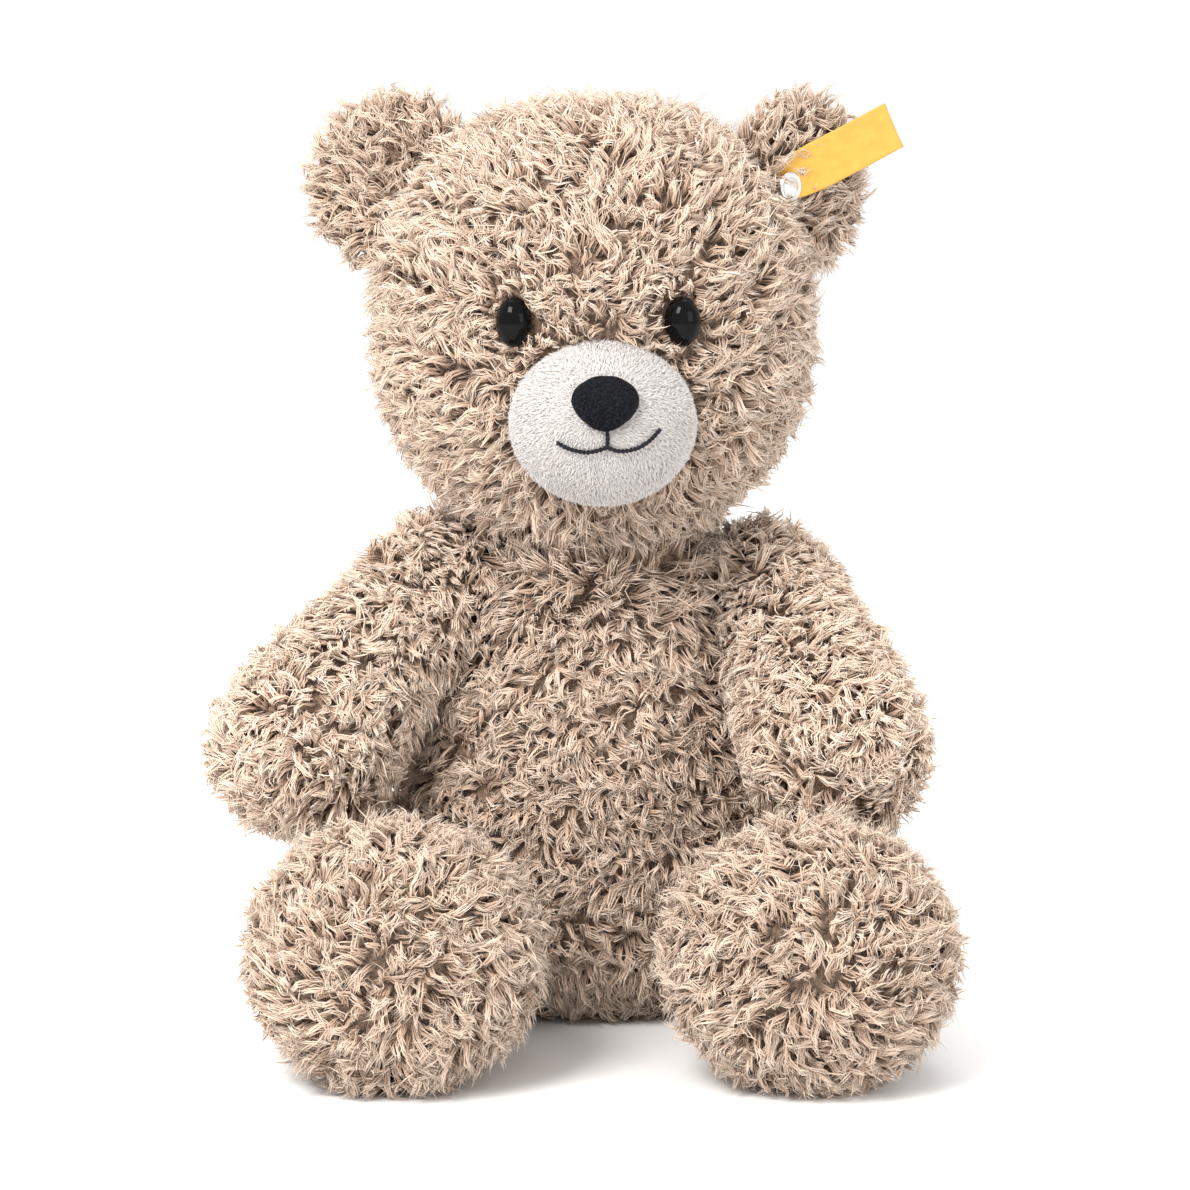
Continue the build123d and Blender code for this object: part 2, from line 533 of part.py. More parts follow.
# muzzle: a shallow dome of short pile on the front of the head
def dome(radius, height, back):
    """Sections of the muzzle from inside the head out to its tip, along -Y."""
    out = []
    for k in (back, -6.0, 4.0, 11.0, 16.5, 20.8, 24.0, 26.2, 27.2):
        t = k * radius / MUZZLE_R if k > 0 else k
        f = (1 - (t / radius) ** 2) ** 0.5 if t > 0 else 1.0
        out.append((t, 0, 0, radius * f, height * f))
    return out


muzzle_plane = Plane(origin=MUZZLE_C, x_dir=(1, 0, 0), z_dir=(0, -1, 0))
with BuildPart() as muzzle_outside:
    loft(sections=rings(dome(MUZZLE_R, MUZZLE_H, -26.0), muzzle_plane))

with BuildPart() as muzzle_hollow:
    loft(sections=rings(dome(MUZZLE_R - MUZZLE_WALL, MUZZLE_H - MUZZLE_WALL, -28.0), muzzle_plane))


def on_muzzle(x, z, lift=0.0):
    """Point of the muzzle surface above (x, z)."""
    u, v = x - MUZZLE_C[0], z - MUZZLE_C[2]
    k = 1 - (v / MUZZLE_H) ** 2 - (u / MUZZLE_R) ** 2
    return (x, MUZZLE_C[1] - MUZZLE_R * k ** 0.5 - lift, z)


# mouth: one upright stitch and a smile of two arcs, half sunk in the pile
mouth_top = on_muzzle(1.9, 186.3)
mouth_mid = on_muzzle(1.7, 180.3)
smile_l1, smile_l2 = on_muzzle(-4.6, 179.3), on_muzzle(-13.2, 182.6)
smile_r1, smile_r2 = on_muzzle(8.6, 179.6), on_muzzle(16.8, 185.8)
with BuildPart() as mouth_thread:
    with BuildLine() as upright:
        Line(mouth_top, mouth_mid)
    with BuildSketch(upright.line ^ 0):
        Circle(THREAD_R)
    sweep(path=upright.line)
    with BuildLine() as smile_left:
        ThreePointArc(mouth_mid, smile_l1, smile_l2)
    with BuildSketch(smile_left.line ^ 0):
        Circle(THREAD_R)
    sweep(path=smile_left.line)
    with BuildLine() as smile_right:
        ThreePointArc(mouth_mid, smile_r1, smile_r2)
    with BuildSketch(smile_right.line ^ 0):
        Circle(THREAD_R)
    sweep(path=smile_right.line)
save(mouth_thread, "mouth_thread")

# nose: rounded triangle, its back seated on the muzzle
nose_rings = []
for along, size in ((-8.0, 1.0), (1.6, 1.0), (2.8, 0.88), (3.6, 0.66), (4.0, 0.4)):
    with BuildSketch(Plane(origin=(NOSE_C[0], -84.0 - along + 0.6, NOSE_C[1]), x_dir=(1, 0, 0), z_dir=(0, -1, 0))) as ring:
        with BuildLine():
            Polyline((-NOSE_W * 0.47 * size, NOSE_H * 0.46 * size), (NOSE_W * 0.47 * size, NOSE_H * 0.46 * size),
                     (NOSE_W * 0.5 * size, NOSE_H * 0.02 * size), (NOSE_W * 0.22 * size, -NOSE_H * 0.47 * size),
                     (-NOSE_W * 0.22 * size, -NOSE_H * 0.47 * size), (-NOSE_W * 0.5 * size, NOSE_H * 0.02 * size), close=True)
        make_face()
        fillet(ring.vertices(), radius=3.2 * size)
    nose_rings.append(ring.sketch)

with BuildPart() as nose:
    loft(sections=nose_rings)
    add(muzzle_outside.part, mode=Mode.SUBTRACT)
save(nose, "nose")

with BuildPart() as muzzle_shell:
    add(muzzle_outside.part)
    add(muzzle_hollow.part, mode=Mode.SUBTRACT)
    add(head_outside.part, mode=Mode.SUBTRACT)
    add(mouth_thread.part, mode=Mode.SUBTRACT)
with BuildPart() as muzzle_cover:
    add(muzzle_shell.solids().sort_by(SortBy.VOLUME)[-1])
save(muzzle_cover, "muzzle_cover")

with BuildPart() as muzzle_stuffing:
    loft(sections=rings(dome(MUZZLE_R - MUZZLE_WALL - FILL_GAP, MUZZLE_H - MUZZLE_WALL - FILL_GAP, -24.0), muzzle_plane))
    add(head_outside.part, mode=Mode.SUBTRACT)
save(muzzle_stuffing, "muzzle_stuffing")

# ears: two panels each, sewn to the sides of the head
ear_r_plane = Plane(origin=EAR_R, x_dir=(cos(radians(EAR_R_TURN)), sin(radians(EAR_R_TURN)), 0),
                    z_dir=(sin(radians(EAR_R_TURN)), -cos(radians(EAR_R_TURN)), 0))
ear_l_plane = Plane(origin=EAR_L, x_dir=(cos(radians(EAR_L_TURN)), sin(radians(EAR_L_TURN)), 0),
                    z_dir=(sin(radians(EAR_L_TURN)), -cos(radians(EAR_L_TURN)), 0))
button_plane = Plane(origin=ear_l_plane.from_local_coords(Vector(-10.3, 0.6, 0)), x_dir=ear_l_plane.x_dir, z_dir=ear_l_plane.z_dir)
BUTTON_SEAT = EAR_HALF_T * (1 - ((10.3 + BUTTON_R) / EAR_RADIUS) ** 2) ** 0.5 + 1.5


def ear_solid(plane):
    """Flat rounded ear lobe, its thin axis along the plane's normal."""
    upright = Plane(origin=plane.origin, x_dir=plane.x_dir, z_dir=(0, 0, 1))
    heights = (-0.985, -0.93, -0.8, -0.6, -0.35, 0, 0.35, 0.6, 0.8, 0.93, 0.985)
    stations = [(h * EAR_RADIUS, 0, 0, EAR_RADIUS * (1 - h * h) ** 0.5, EAR_HALF_T * (1 - h * h) ** 0.5) for h in heights]
    with BuildPart() as lobe:
        loft(sections=rings(stations, upright))
    return lobe.part


ear_r_lobe = ear_solid(ear_r_plane)
ear_l_lobe = ear_solid(ear_l_plane)

with BuildPart() as right_ear_front:
    add(ear_r_lobe)
    add(head_outside.part, mode=Mode.SUBTRACT)
    split(bisect_by=ear_r_plane, keep=Keep.TOP)
save(right_ear_front, "right_ear_front")
with BuildPart() as right_ear_back:
    add(ear_r_lobe)
    add(head_outside.part, mode=Mode.SUBTRACT)
    split(bisect_by=ear_r_plane, keep=Keep.BOTTOM)
save(right_ear_back, "right_ear_back")

# rivet button through the left ear, holding the ribbon tag
with BuildPart() as ear_button:
    with BuildSketch(button_plane.offset(BUTTON_SEAT)):
        Circle(BUTTON_R)
    extrude(amount=BUTTON_T)
    fillet(ear_button.faces().filter_by(GeomType.PLANE).sort_by(Axis(button_plane.origin, button_plane.z_dir))[-1].edges(), radius=1.2)
    with BuildSketch(button_plane.offset(BUTTON_SEAT)):
        Circle(RIVET_R)
    extrude(amount=-(BUTTON_SEAT + 2.4))
save(ear_button, "ear_button")

BUTTON_BACK_SEAT = -0.9
with BuildPart() as ear_button_back:
    with BuildSketch(button_plane.offset(BUTTON_BACK_SEAT)):
        Circle(BUTTON_BACK_R)
        Circle(RIVET_R, mode=Mode.SUBTRACT)
    extrude(amount=-BUTTON_BACK_T)
save(ear_button_back, "ear_button_back")

with BuildPart() as left_ear_front:
    add(ear_l_lobe)
    add(head_outside.part, mode=Mode.SUBTRACT)
    split(bisect_by=ear_l_plane, keep=Keep.TOP)
    with BuildSketch(button_plane.offset(-12)):
        Circle(RIVET_R)
    extrude(amount=30, mode=Mode.SUBTRACT)
save(left_ear_front, "left_ear_front")
with BuildPart() as left_ear_back:
    add(ear_l_lobe)
    add(head_outside.part, mode=Mode.SUBTRACT)
    split(bisect_by=ear_l_plane, keep=Keep.BOTTOM)
    add(ear_button_back.part, mode=Mode.SUBTRACT)
    add(ear_button.part, mode=Mode.SUBTRACT)
save(left_ear_back, "left_ear_back")

# ribbon tag: plain, with a hole for the rivet
tag_turn, tag_rise = radians(TAG_TURN), radians(TAG_RISE)
tag_x = Vector(cos(tag_turn) * cos(tag_rise), sin(tag_turn) * cos(tag_rise), sin(tag_rise))
tag_plane = Plane(origin=button_plane.from_local_coords(Vector(0, 0, BUTTON_SEAT - 0.7)), x_dir=tag_x,
                  z_dir=Vector(sin(tag_turn), -cos(tag_turn), 0))
with BuildPart() as ear_tag:
    with BuildSketch(tag_plane):
        with BuildLine():
            Polyline((-2.6, -2.6), (2.6, -3.4), (9.5, -TAG_W / 2), (TAG_L - 2, -TAG_W / 2), (TAG_L - 2, TAG_W / 2),
                     (9.5, TAG_W / 2), (2.6, 3.4), (-2.6, 2.6), close=True)
        make_face()
    extrude(amount=TAG_T / 2, both=True)
    with BuildSketch(button_plane.offset(-12)):
        Circle(RIVET_R + 0.05)
    extrude(amount=40, mode=Mode.SUBTRACT)
    with BuildSketch(button_plane.offset(BUTTON_SEAT)):
        Circle(BUTTON_R + 2)
    extrude(amount=5, mode=Mode.SUBTRACT)
    add(ear_l_lobe, mode=Mode.SUBTRACT)
save(ear_tag, "ear_tag")

# head cover: centre gusset over the top and two side panels
GUSSET_W, GUSSET_Z = 38.0, 209.0
with BuildPart() as head_cover:
    add(head_outside.part)
    add(head_hollow.part, mode=Mode.SUBTRACT)
    with BuildSketch(neck_plane.offset(-6)):
        Circle(SHANK_R + 0.3)
    extrude(amount=8, mode=Mode.SUBTRACT)
    for eye in eye_planes:
        with BuildSketch(eye.offset(-12)):
            Circle(EYE_POST_R)
        extrude(amount=12, mode=Mode.SUBTRACT)
        with BuildSketch(eye.offset(-2.0)):
            Ellipse(EYE_W / 2 + 0.3, EYE_H / 2 + 0.3)
        extrude(amount=12, mode=Mode.SUBTRACT)
    add(ear_button_back.part, mode=Mode.SUBTRACT)
    add(ear_button.part, mode=Mode.SUBTRACT)

with BuildPart() as gusset_zone:
    with BuildSketch(head_plane.offset(GUSSET_Z)):
        Rectangle(GUSSET_W, 200)
    extrude(amount=90)

with BuildPart() as head_gusset:
    add(head_cover.part)
    add(gusset_zone.part, mode=Mode.INTERSECT)
save(head_gusset, "head_gusset")
head_mid = Plane(origin=(HEAD_X, 0, 0), x_dir=(0, 0, 1), z_dir=(cos(radians(HEAD_YAW)), sin(radians(HEAD_YAW)), 0))
with BuildPart() as head_cover_left:
    add(head_cover.part)
    add(gusset_zone.part, mode=Mode.SUBTRACT)
    split(bisect_by=head_mid, keep=Keep.TOP)
save(head_cover_left, "head_cover_left")
with BuildPart() as head_cover_right:
    add(head_cover.part)
    add(gusset_zone.part, mode=Mode.SUBTRACT)
    split(bisect_by=head_mid, keep=Keep.BOTTOM)
save(head_cover_right, "head_cover_right")

with BuildPart() as head_stuffing:
    loft(sections=rings([(s + (0.4 if s < 145 else 0), x, y, rx, ry)
                         for s, x, y, rx, ry in inset(head_st, PILE_WALL + FILL_GAP, HEAD_HOLLOW_BOTTOM, 272)], head_plane))
    with BuildSketch(neck_plane.offset(-1)):
        Circle(NECK_DISC_R + 0.5)
    extrude(amount=1 + DISC_T + FILL_GAP, mode=Mode.SUBTRACT)
    for eye in eye_planes:
        with BuildSketch(eye.offset(-EYE_POST_L - 0.5)):
            Circle(EYE_WASHER_R + 0.4)
        extrude(amount=10, mode=Mode.SUBTRACT)
    with BuildSketch(button_plane.offset(BUTTON_BACK_SEAT + 0.3)):
        Circle(BUTTON_BACK_R + 0.5)
    extrude(amount=-(BUTTON_BACK_T + 1.2), mode=Mode.SUBTRACT)
save(head_stuffing, "head_stuffing")
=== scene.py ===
import bpy, math, json
import numpy as np
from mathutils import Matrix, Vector

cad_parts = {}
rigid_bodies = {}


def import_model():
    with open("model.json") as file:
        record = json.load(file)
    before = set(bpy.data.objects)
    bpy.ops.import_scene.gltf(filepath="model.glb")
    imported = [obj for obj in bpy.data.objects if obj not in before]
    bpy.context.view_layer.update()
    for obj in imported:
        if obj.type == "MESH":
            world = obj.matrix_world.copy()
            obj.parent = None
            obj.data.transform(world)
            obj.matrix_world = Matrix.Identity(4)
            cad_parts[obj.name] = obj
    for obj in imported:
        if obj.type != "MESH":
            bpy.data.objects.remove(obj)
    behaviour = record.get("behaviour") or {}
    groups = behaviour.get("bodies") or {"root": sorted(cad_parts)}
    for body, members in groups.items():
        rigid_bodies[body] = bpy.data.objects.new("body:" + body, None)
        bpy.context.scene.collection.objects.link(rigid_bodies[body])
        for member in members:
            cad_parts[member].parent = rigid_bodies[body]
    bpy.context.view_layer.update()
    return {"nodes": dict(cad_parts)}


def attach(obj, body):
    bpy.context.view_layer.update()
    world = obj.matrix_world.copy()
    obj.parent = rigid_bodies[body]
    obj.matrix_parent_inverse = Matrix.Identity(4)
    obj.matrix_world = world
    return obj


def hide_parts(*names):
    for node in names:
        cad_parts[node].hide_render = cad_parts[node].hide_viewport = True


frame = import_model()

MM = 0.001

# ----------------------------------------------------------------- shape tables (mm)
TORSO = [(0, -4, 0, 31, 20), (4, -4, 0, 43, 31), (9, -4, 0, 50, 37), (17, -4.2, -0.5, 56, 42),
         (32, -4.6, -1, 60.5, 46.3), (50, -5, -2, 61, 48), (66, -4.2, -2, 58, 47.3), (82, -2.8, -2, 53.2, 45),
         (100, -1.2, -1, 47.3, 41.3), (118, 0, 0, 41.5, 37), (130, 0, 0, 36.5, 33), (138, 0, 0, 31, 29),
         (141, 0, 0, 27, 26)]
HEAD = [(141.4, 0, -1, 21, 20), (144, 0, -1, 26, 24.8), (149, 0, -2, 33.5, 31.5), (156, 0, -2.5, 42, 38.5),
        (165, 0, -3, 50.5, 45), (176, 0, -3.5, 57.5, 50.5), (188, 0, -4, 62, 54), (202, 0, -4, 64, 55.5),
        (216, 0, -4, 64, 55.5), (230, 0, -4, 62, 54), (242, 0, -4, 58, 50.5), (252, 0, -3.5, 52, 45.5),
        (260, 0, -3, 44.5, 39.5), (266.5, 0, -3, 35, 31.5), (271, 0, -3, 24, 22), (273.2, 0, -3, 13, 12),
        (274.0, 0, -3, 1.0, 1.0)]


def arm_table(paw):
    k = paw - 20
    return [(-22.3, 14, 0, 1, 1), (-21.5, 14, 0, 4.4, 4.6), (-20, 14, 0, 10, 10.5), (-16, 14.5, 0, 15.5, 16.5),
            (-8, 15.8, 0, 19.2, 20.2), (3, 17, 0, 20.8, 21.8), (18, 19, 0, 21.6, 22.6),
            (34, 20.8 + k * 0.35, 0, 22.6, 23.4), (49, 21 + k * 0.65, 0, 24.4, 24.9),
            (62, 20.8 + k * 0.9, 0, 26, 26.4), (72, 20.4 + k, 0, 26.4, 26.8), (82, 20.4 + k, 0, 24, 24.4),
            (89.5, 20.4 + k, 0, 18.2, 18.7), (94, 20.4 + k, 0, 10.3, 10.7), (95.3, 20.4 + k, 0, 4.7, 4.9),
            (96.0, 20.4 + k, 0, 1, 1)]


LEG = [(-32.8, 18.5, 2, 1, 1), (-32, 18.5, 2, 5.5, 5.3), (-30.3, 18.5, 2, 12.5, 12.2), (-26, 18.5, 2.2, 19, 18.6),
       (-18, 18.5, 2.4, 25, 24.5), (-7, 18.8, 2.5, 28.8, 28.3), (5, 19.2, 2.4, 29.4, 28.9), (18, 20, 1.8, 28.4, 27.9),
       (30, 20.6, 0.9, 26.4, 25.6), (42, 21.2, 0.7, 26.2, 24.8), (52, 21.5, 1.6, 28, 26.2), (66, 20.3, 5, 33.5, 30.8),
       (80, 18.5, 8.3, 38.5, 35.2), (94, 17.5, 10.2, 40.5, 37.2), (108, 17.5, 10.2, 39, 36),
       (118, 17.5, 10.2, 33.5, 31.4), (125, 17.5, 10.2, 25, 23.5), (129, 17.5, 10.2, 13.5, 13),
       (130, 17.5, 10.2, 7, 6.8), (130.6, 17.5, 10.2, 1, 1)]

HEAD_X, HEAD_YAW = -2.5, 2.5
SH_X, SH_Z = 35.0, 120.0
ARM_POSE = {"right": (-1, 33.0, 37.0, 26.0), "left": (1, 17.0, 57.0, 22.5)}
HIP = (42.0, -5.0, 27.0)
MUZZLE_C = np.array([0.4, -58.0, 185.0])
MUZZLE_R, MUZZLE_H = 27.6, 24.4
EYES = {"right": (-25.3, 213.5), "left": (23.5, 213.5)}
EYE_W, EYE_H = 10.4, 13.9
EAR = {"right": ((-61.0, 4.0, 249.0), -15.0), "left": ((58.0, 6.5, 249.0), 42.0)}
EAR_RADIUS, EAR_T = 25.6, 8.0


def unit(v):
    v = np.asarray(v, float)
    return v / np.maximum(np.linalg.norm(v, axis=-1, keepdims=True), 1e-9)


def cubic(ts, vals, tq):
    """Smooth interpolation of table rows, with its slope."""
    ts = np.asarray(ts, float)
    vals = np.asarray(vals, float)
    d = (vals[1:] - vals[:-1]) / (ts[1:] - ts[:-1])[:, None]
    h = (ts[1:] - ts[:-1])[:, None]
    m = np.zeros_like(vals)
    m[0], m[-1] = d[0], d[-1]
    m[1:-1] = (d[:-1] * h[1:] + d[1:] * h[:-1]) / (h[1:] + h[:-1])
    cap = 2.6*np.minimum(np.abs(d[:-1]), np.abs(d[1:]))
    m[1:-1] = np.clip(m[1:-1], -cap, cap)
    i = np.clip(np.searchsorted(ts, tq, side="right") - 1, 0, len(ts) - 2)
    u = ((tq - ts[i]) / (ts[i + 1] - ts[i]))[:, None]
    hh = h[i]
    val = (2*u**3 - 3*u**2 + 1)*vals[i] + (u**3 - 2*u**2 + u)*hh*m[i] + (-2*u**3 + 3*u**2)*vals[i+1] + (u**3 - u**2)*hh*m[i+1]
    der = ((6*u**2 - 6*u)*vals[i] + (3*u**2 - 4*u + 1)*hh*m[i] + (-6*u**2 + 6*u)*vals[i+1] + (3*u**2 - 2*u)*hh*m[i+1]) / hh
    return val, der


class Form:
    """A stuffed shape: ellipse sections along a line, in mm."""

    def __init__(self, table, origin, d, u, v):
        self.t = np.asarray(table, float)
        self.O, self.d, self.u, self.v = (np.asarray(k, float) for k in (origin, d, u, v))
        q = np.linspace(self.t[0, 0], self.t[-1, 0], 1500)
        c, _ = cubic(self.t[:, 0], self.t[:, 1:], q)
        r = np.minimum(c[:, 2], c[:, 3])
        step = np.sqrt(np.diff(q)**2 + np.diff(r)**2)
        self.q, self.arc = q, np.concatenate([[0], np.cumsum(step)])
        self.length = self.arc[-1]

    def at(self, s, th):
        c, dc = cubic(self.t[:, 0], self.t[:, 1:], s)
        cu, cv, a, b = c.T
        du_, dv_, da, db = dc.T
        ct, st = np.cos(th), np.sin(th)
        P = self.O + s[:, None]*self.d + (cu + a*ct)[:, None]*self.u + (cv + b*st)[:, None]*self.v
        Ps = self.d + (du_ + da*ct)[:, None]*self.u + (dv_ + db*st)[:, None]*self.v
        Pt = (-a*st)[:, None]*self.u + (b*ct)[:, None]*self.v
        N = unit(np.cross(Pt, Ps))
        out = (a*ct)[:, None]*self.u + (b*st)[:, None]*self.v + 1e-6*self.d
        mid = 0.5*(self.t[0, 0] + self.t[-1, 0])
        out = out + ((s - mid)/(self.t[-1, 0] - mid))[:, None]**15*self.d*3
        sign = np.sign(np.sum(N*out, 1))
        return P, N*np.where(sign == 0, 1, sign)[:, None]

    def s_of_arc(self, x):
        return np.interp(x, self.arc, self.q)

    def scatter(self, gap, rng):
        """Evenly spread, jittered points of the surface."""
        S, T = [], []
        n = max(3, int(self.length/gap))
        for k in range(n):
            x = (k + 0.5)*self.length/n
            s0 = self.s_of_arc(x)
            c, _ = cubic(self.t[:, 0], self.t[:, 1:], np.array([s0]))
            a, b = max(c[0, 2], .3), max(c[0, 3], .3)
            th = np.linspace(0, 2*np.pi, 721)
            dl = np.sqrt((a*np.sin(th))**2 + (b*np.cos(th))**2)
            al = np.concatenate([[0], np.cumsum(0.5*(dl[1:] + dl[:-1])*np.diff(th))])
            m = max(3, int(round(al[-1]/gap)))
            x2 = (np.arange(m) + rng.random() + 0.42*(rng.random(m) - 0.5)*2) % m/m*al[-1]
            T.append(np.interp(x2, al, th))
            xs = x + 0.42*gap*(rng.random(m) - 0.5)*2
            S.append(self.s_of_arc(np.clip(xs, 0.2, self.length - 0.2)))
        return np.concatenate(S), np.concatenate(T)

    def depth(self, P):
        """About how deep a point lies inside, in mm (negative outside)."""
        w = P - self.O
        s, x, y = w@self.d, w@self.u, w@self.v
        sc = np.clip(s, self.t[0, 0], self.t[-1, 0])
        c, _ = cubic(self.t[:, 0], self.t[:, 1:], sc)
        r = np.sqrt(((x - c[:, 0])/c[:, 2])**2 + ((y - c[:, 1])/c[:, 3])**2)
        dep = (1 - r)*np.minimum(c[:, 2], c[:, 3])
        return np.where((s < self.t[0, 0]) | (s > self.t[-1, 0]), -5.0, dep)


def rot_z(deg):
    a = math.radians(deg)
    return np.array([[math.cos(a), -math.sin(a), 0], [math.sin(a), math.cos(a), 0], [0, 0, 1]])


HR = rot_z(HEAD_YAW)
F_TORSO = Form([(-0.4, -4, 0, 1, 1)] + TORSO + [(142.0, 0, 0, 1, 1)],
               (0, 0, 0), (0, 0, 1), (1, 0, 0), (0, 1, 0))
F_HEAD = Form([(140.9, 0, -1, 1, 1)] + HEAD, (HEAD_X, 0, 0), (0, 0, 1), HR@[1, 0, 0], HR@[0, 1, 0])
F_ARM, AXLE = {}, {}
for side, (sx, tilt, flex, paw) in ARM_POSE.items():
    t, f = math.radians(tilt), math.radians(flex)
    w = np.array([sx*math.cos(t), 0, math.sin(t)])
    hang = np.array([sx*math.sin(t), 0, -math.cos(t)])
    d = math.cos(f)*hang + math.sin(f)*np.array([0, -1.0, 0])
    O = np.array([sx*SH_X, 0, SH_Z])
    F_ARM[side] = Form(arm_table(paw), O, d, w, np.cross(d, w))
    AXLE[side + "_arm"] = (O, w)
F_LEG = {}
for side, sx in (("right", -1), ("left", 1)):
    O = np.array([sx*HIP[0], HIP[1], HIP[2]])
    F_LEG[side] = Form(LEG, O, (0, -1, 0), (sx, 0, 0), (0, 0, 1))
    AXLE[side + "_leg"] = (O, np.array([sx, 0.0, 0.0]))


def ear_form(side):
    (c, turn) = EAR[side]
    M = rot_z(turn)
    hs = (-0.999, -0.985, -0.93, -0.8, -0.6, -0.35, 0, 0.35, 0.6, 0.8, 0.93, 0.985, 0.999)
    tab = [(h*EAR_RADIUS, 0, 0, EAR_RADIUS*math.sqrt(1 - h*h), EAR_T*math.sqrt(1 - h*h)) for h in hs]
    return Form(tab, c, (0, 0, 1), M@[1, 0, 0], M@[0, 1, 0])


F_EAR = {k: ear_form(k) for k in EAR}


def wave(P, scale, seed):
    """Smooth pseudo-random vectors, about unit size."""
    g = np.random.default_rng(seed)
    out = np.zeros((len(P), 3))
    for _ in range(7):
        k = g.normal(size=3)
        k = k/np.linalg.norm(k)*2*np.pi/(scale*g.uniform(0.7, 1.6))
        out += np.sin(P@k + g.uniform(0, 6.28))[:, None]*g.normal(size=3)
    return out/2.2


# --------------------------------------------------------------------- materials
def new_mat(name):
    m = bpy.data.materials.new(name)
    m.use_nodes = True
    nt = m.node_tree
    return m, nt, nt.nodes["Principled BSDF"]


def lin(r, g, b):
    f = lambda c: (c/255/12.92) if c/255 <= 0.04045 else ((c/255 + 0.055)/1.055)**2.4
    return (f(r), f(g), f(b), 1.0)


def ramp(nt, stops, x, y):
    r = nt.nodes.new("ShaderNodeValToRGB")
    r.location = (x, y)
    e = r.color_ramp.elements
    e[0].position, e[0].color = stops[0]
    e[1].position, e[1].color = stops[-1]
    for p, c in stops[1:-1]:
        k = e.new(p)
        k.color = c
    return r


def pile_material(name, shade_to_highlight_stops, family_stops, rough=0.75, sheen=0.35, tint=(1, 0.9, 0.8, 1)):
    """Colour from root to tip times a family tint, both read from the strand's own UV; the root-to-tip ramp is painted
    shade near the root, between the locks, and a painted highlight at the tip.
    """
    m, nt, b = new_mat(name)
    uv = nt.nodes.new("ShaderNodeUVMap")
    uv.uv_map = "OFBake"
    sep = nt.nodes.new("ShaderNodeSeparateXYZ")
    nt.links.new(uv.outputs["UV"], sep.inputs[0])
    # painted shade at the root and painted highlight at the tip, along each strand
    r1 = ramp(nt, shade_to_highlight_stops, -500, 200)
    r2 = ramp(nt, family_stops, -500, -100)
    nt.links.new(sep.outputs["Y"], r1.inputs[0])
    nt.links.new(sep.outputs["X"], r2.inputs[0])
    mix = nt.nodes.new("ShaderNodeMix")
    mix.data_type = "RGBA"
    mix.blend_type = "MULTIPLY"
    mix.inputs[0].default_value = 1.0
    nt.links.new(r1.outputs[0], mix.inputs[6])
    nt.links.new(r2.outputs[0], mix.inputs[7])
    nt.links.new(mix.outputs[2], b.inputs["Base Color"])
    b.inputs["Roughness"].default_value = rough
    b.inputs["Specular IOR Level"].default_value = 0.25
    b.inputs["Sheen Weight"].default_value = sheen
    b.inputs["Sheen Roughness"].default_value = 0.4
    b.inputs["Sheen Tint"].default_value = tint
    return m


def noise_material(name, stops, scale, rough=0.9, bump=0.3, bump_scale=None, spec=0.2, metal=0.0, detail=4, dist=0.0006):
    m, nt, b = new_mat(name)
    tc = nt.nodes.new("ShaderNodeTexCoord")
    n = nt.nodes.new("ShaderNodeTexNoise")
    n.inputs["Scale"].default_value = scale
    n.inputs["Detail"].default_value = detail
    nt.links.new(tc.outputs["Object"], n.inputs["Vector"])
    r = ramp(nt, stops, -300, 200)
    nt.links.new(n.outputs["Fac"], r.inputs[0])
    nt.links.new(r.outputs[0], b.inputs["Base Color"])
    n2 = nt.nodes.new("ShaderNodeTexNoise")
    n2.inputs["Scale"].default_value = bump_scale or scale*2
    n2.inputs["Detail"].default_value = 3
    nt.links.new(tc.outputs["Object"], n2.inputs["Vector"])
    bp = nt.nodes.new("ShaderNodeBump")
    bp.inputs["Strength"].default_value = bump
    bp.inputs["Distance"].default_value = dist
    nt.links.new(n2.outputs["Fac"], bp.inputs["Height"])
    nt.links.new(bp.outputs[0], b.inputs["Normal"])
    b.inputs["Roughness"].default_value = rough
    b.inputs["Specular IOR Level"].default_value = spec
    b.inputs["Metallic"].default_value = metal
    return m


# plush fur: the first ramp runs from a dark root (painted shade between the locks) to a pale tip (painted highlight);
# the second ramp is each lock's random tint
FUR = pile_material("plush_fur",
                    [(0.0, (0.34, 0.232, 0.168, 1)), (0.28, (0.53, 0.382, 0.286, 1)),
                     (0.58, (0.715, 0.562, 0.450, 1)), (0.84, (0.82, 0.690, 0.580, 1)), (1.0, (0.91, 0.81, 0.715, 1))],
                    [(0.0, (0.66, 0.61, 0.57, 1)), (0.25, (0.86, 0.82, 0.79, 1)), (0.55, (1.0, 0.975, 0.95, 1)),
                     (0.8, (1.07, 1.06, 1.05, 1)), (1.0, (1.14, 1.15, 1.16, 1))])
# backing under the pile: its dark brown is painted shade, so bare patches between the locks read as shadow
SKIN = noise_material("plush_backing", [(0.32, (0.16, 0.105, 0.074, 1)), (0.68, (0.36, 0.25, 0.18, 1))], 700, 0.95, 1.0, 1100, dist=0.0015)
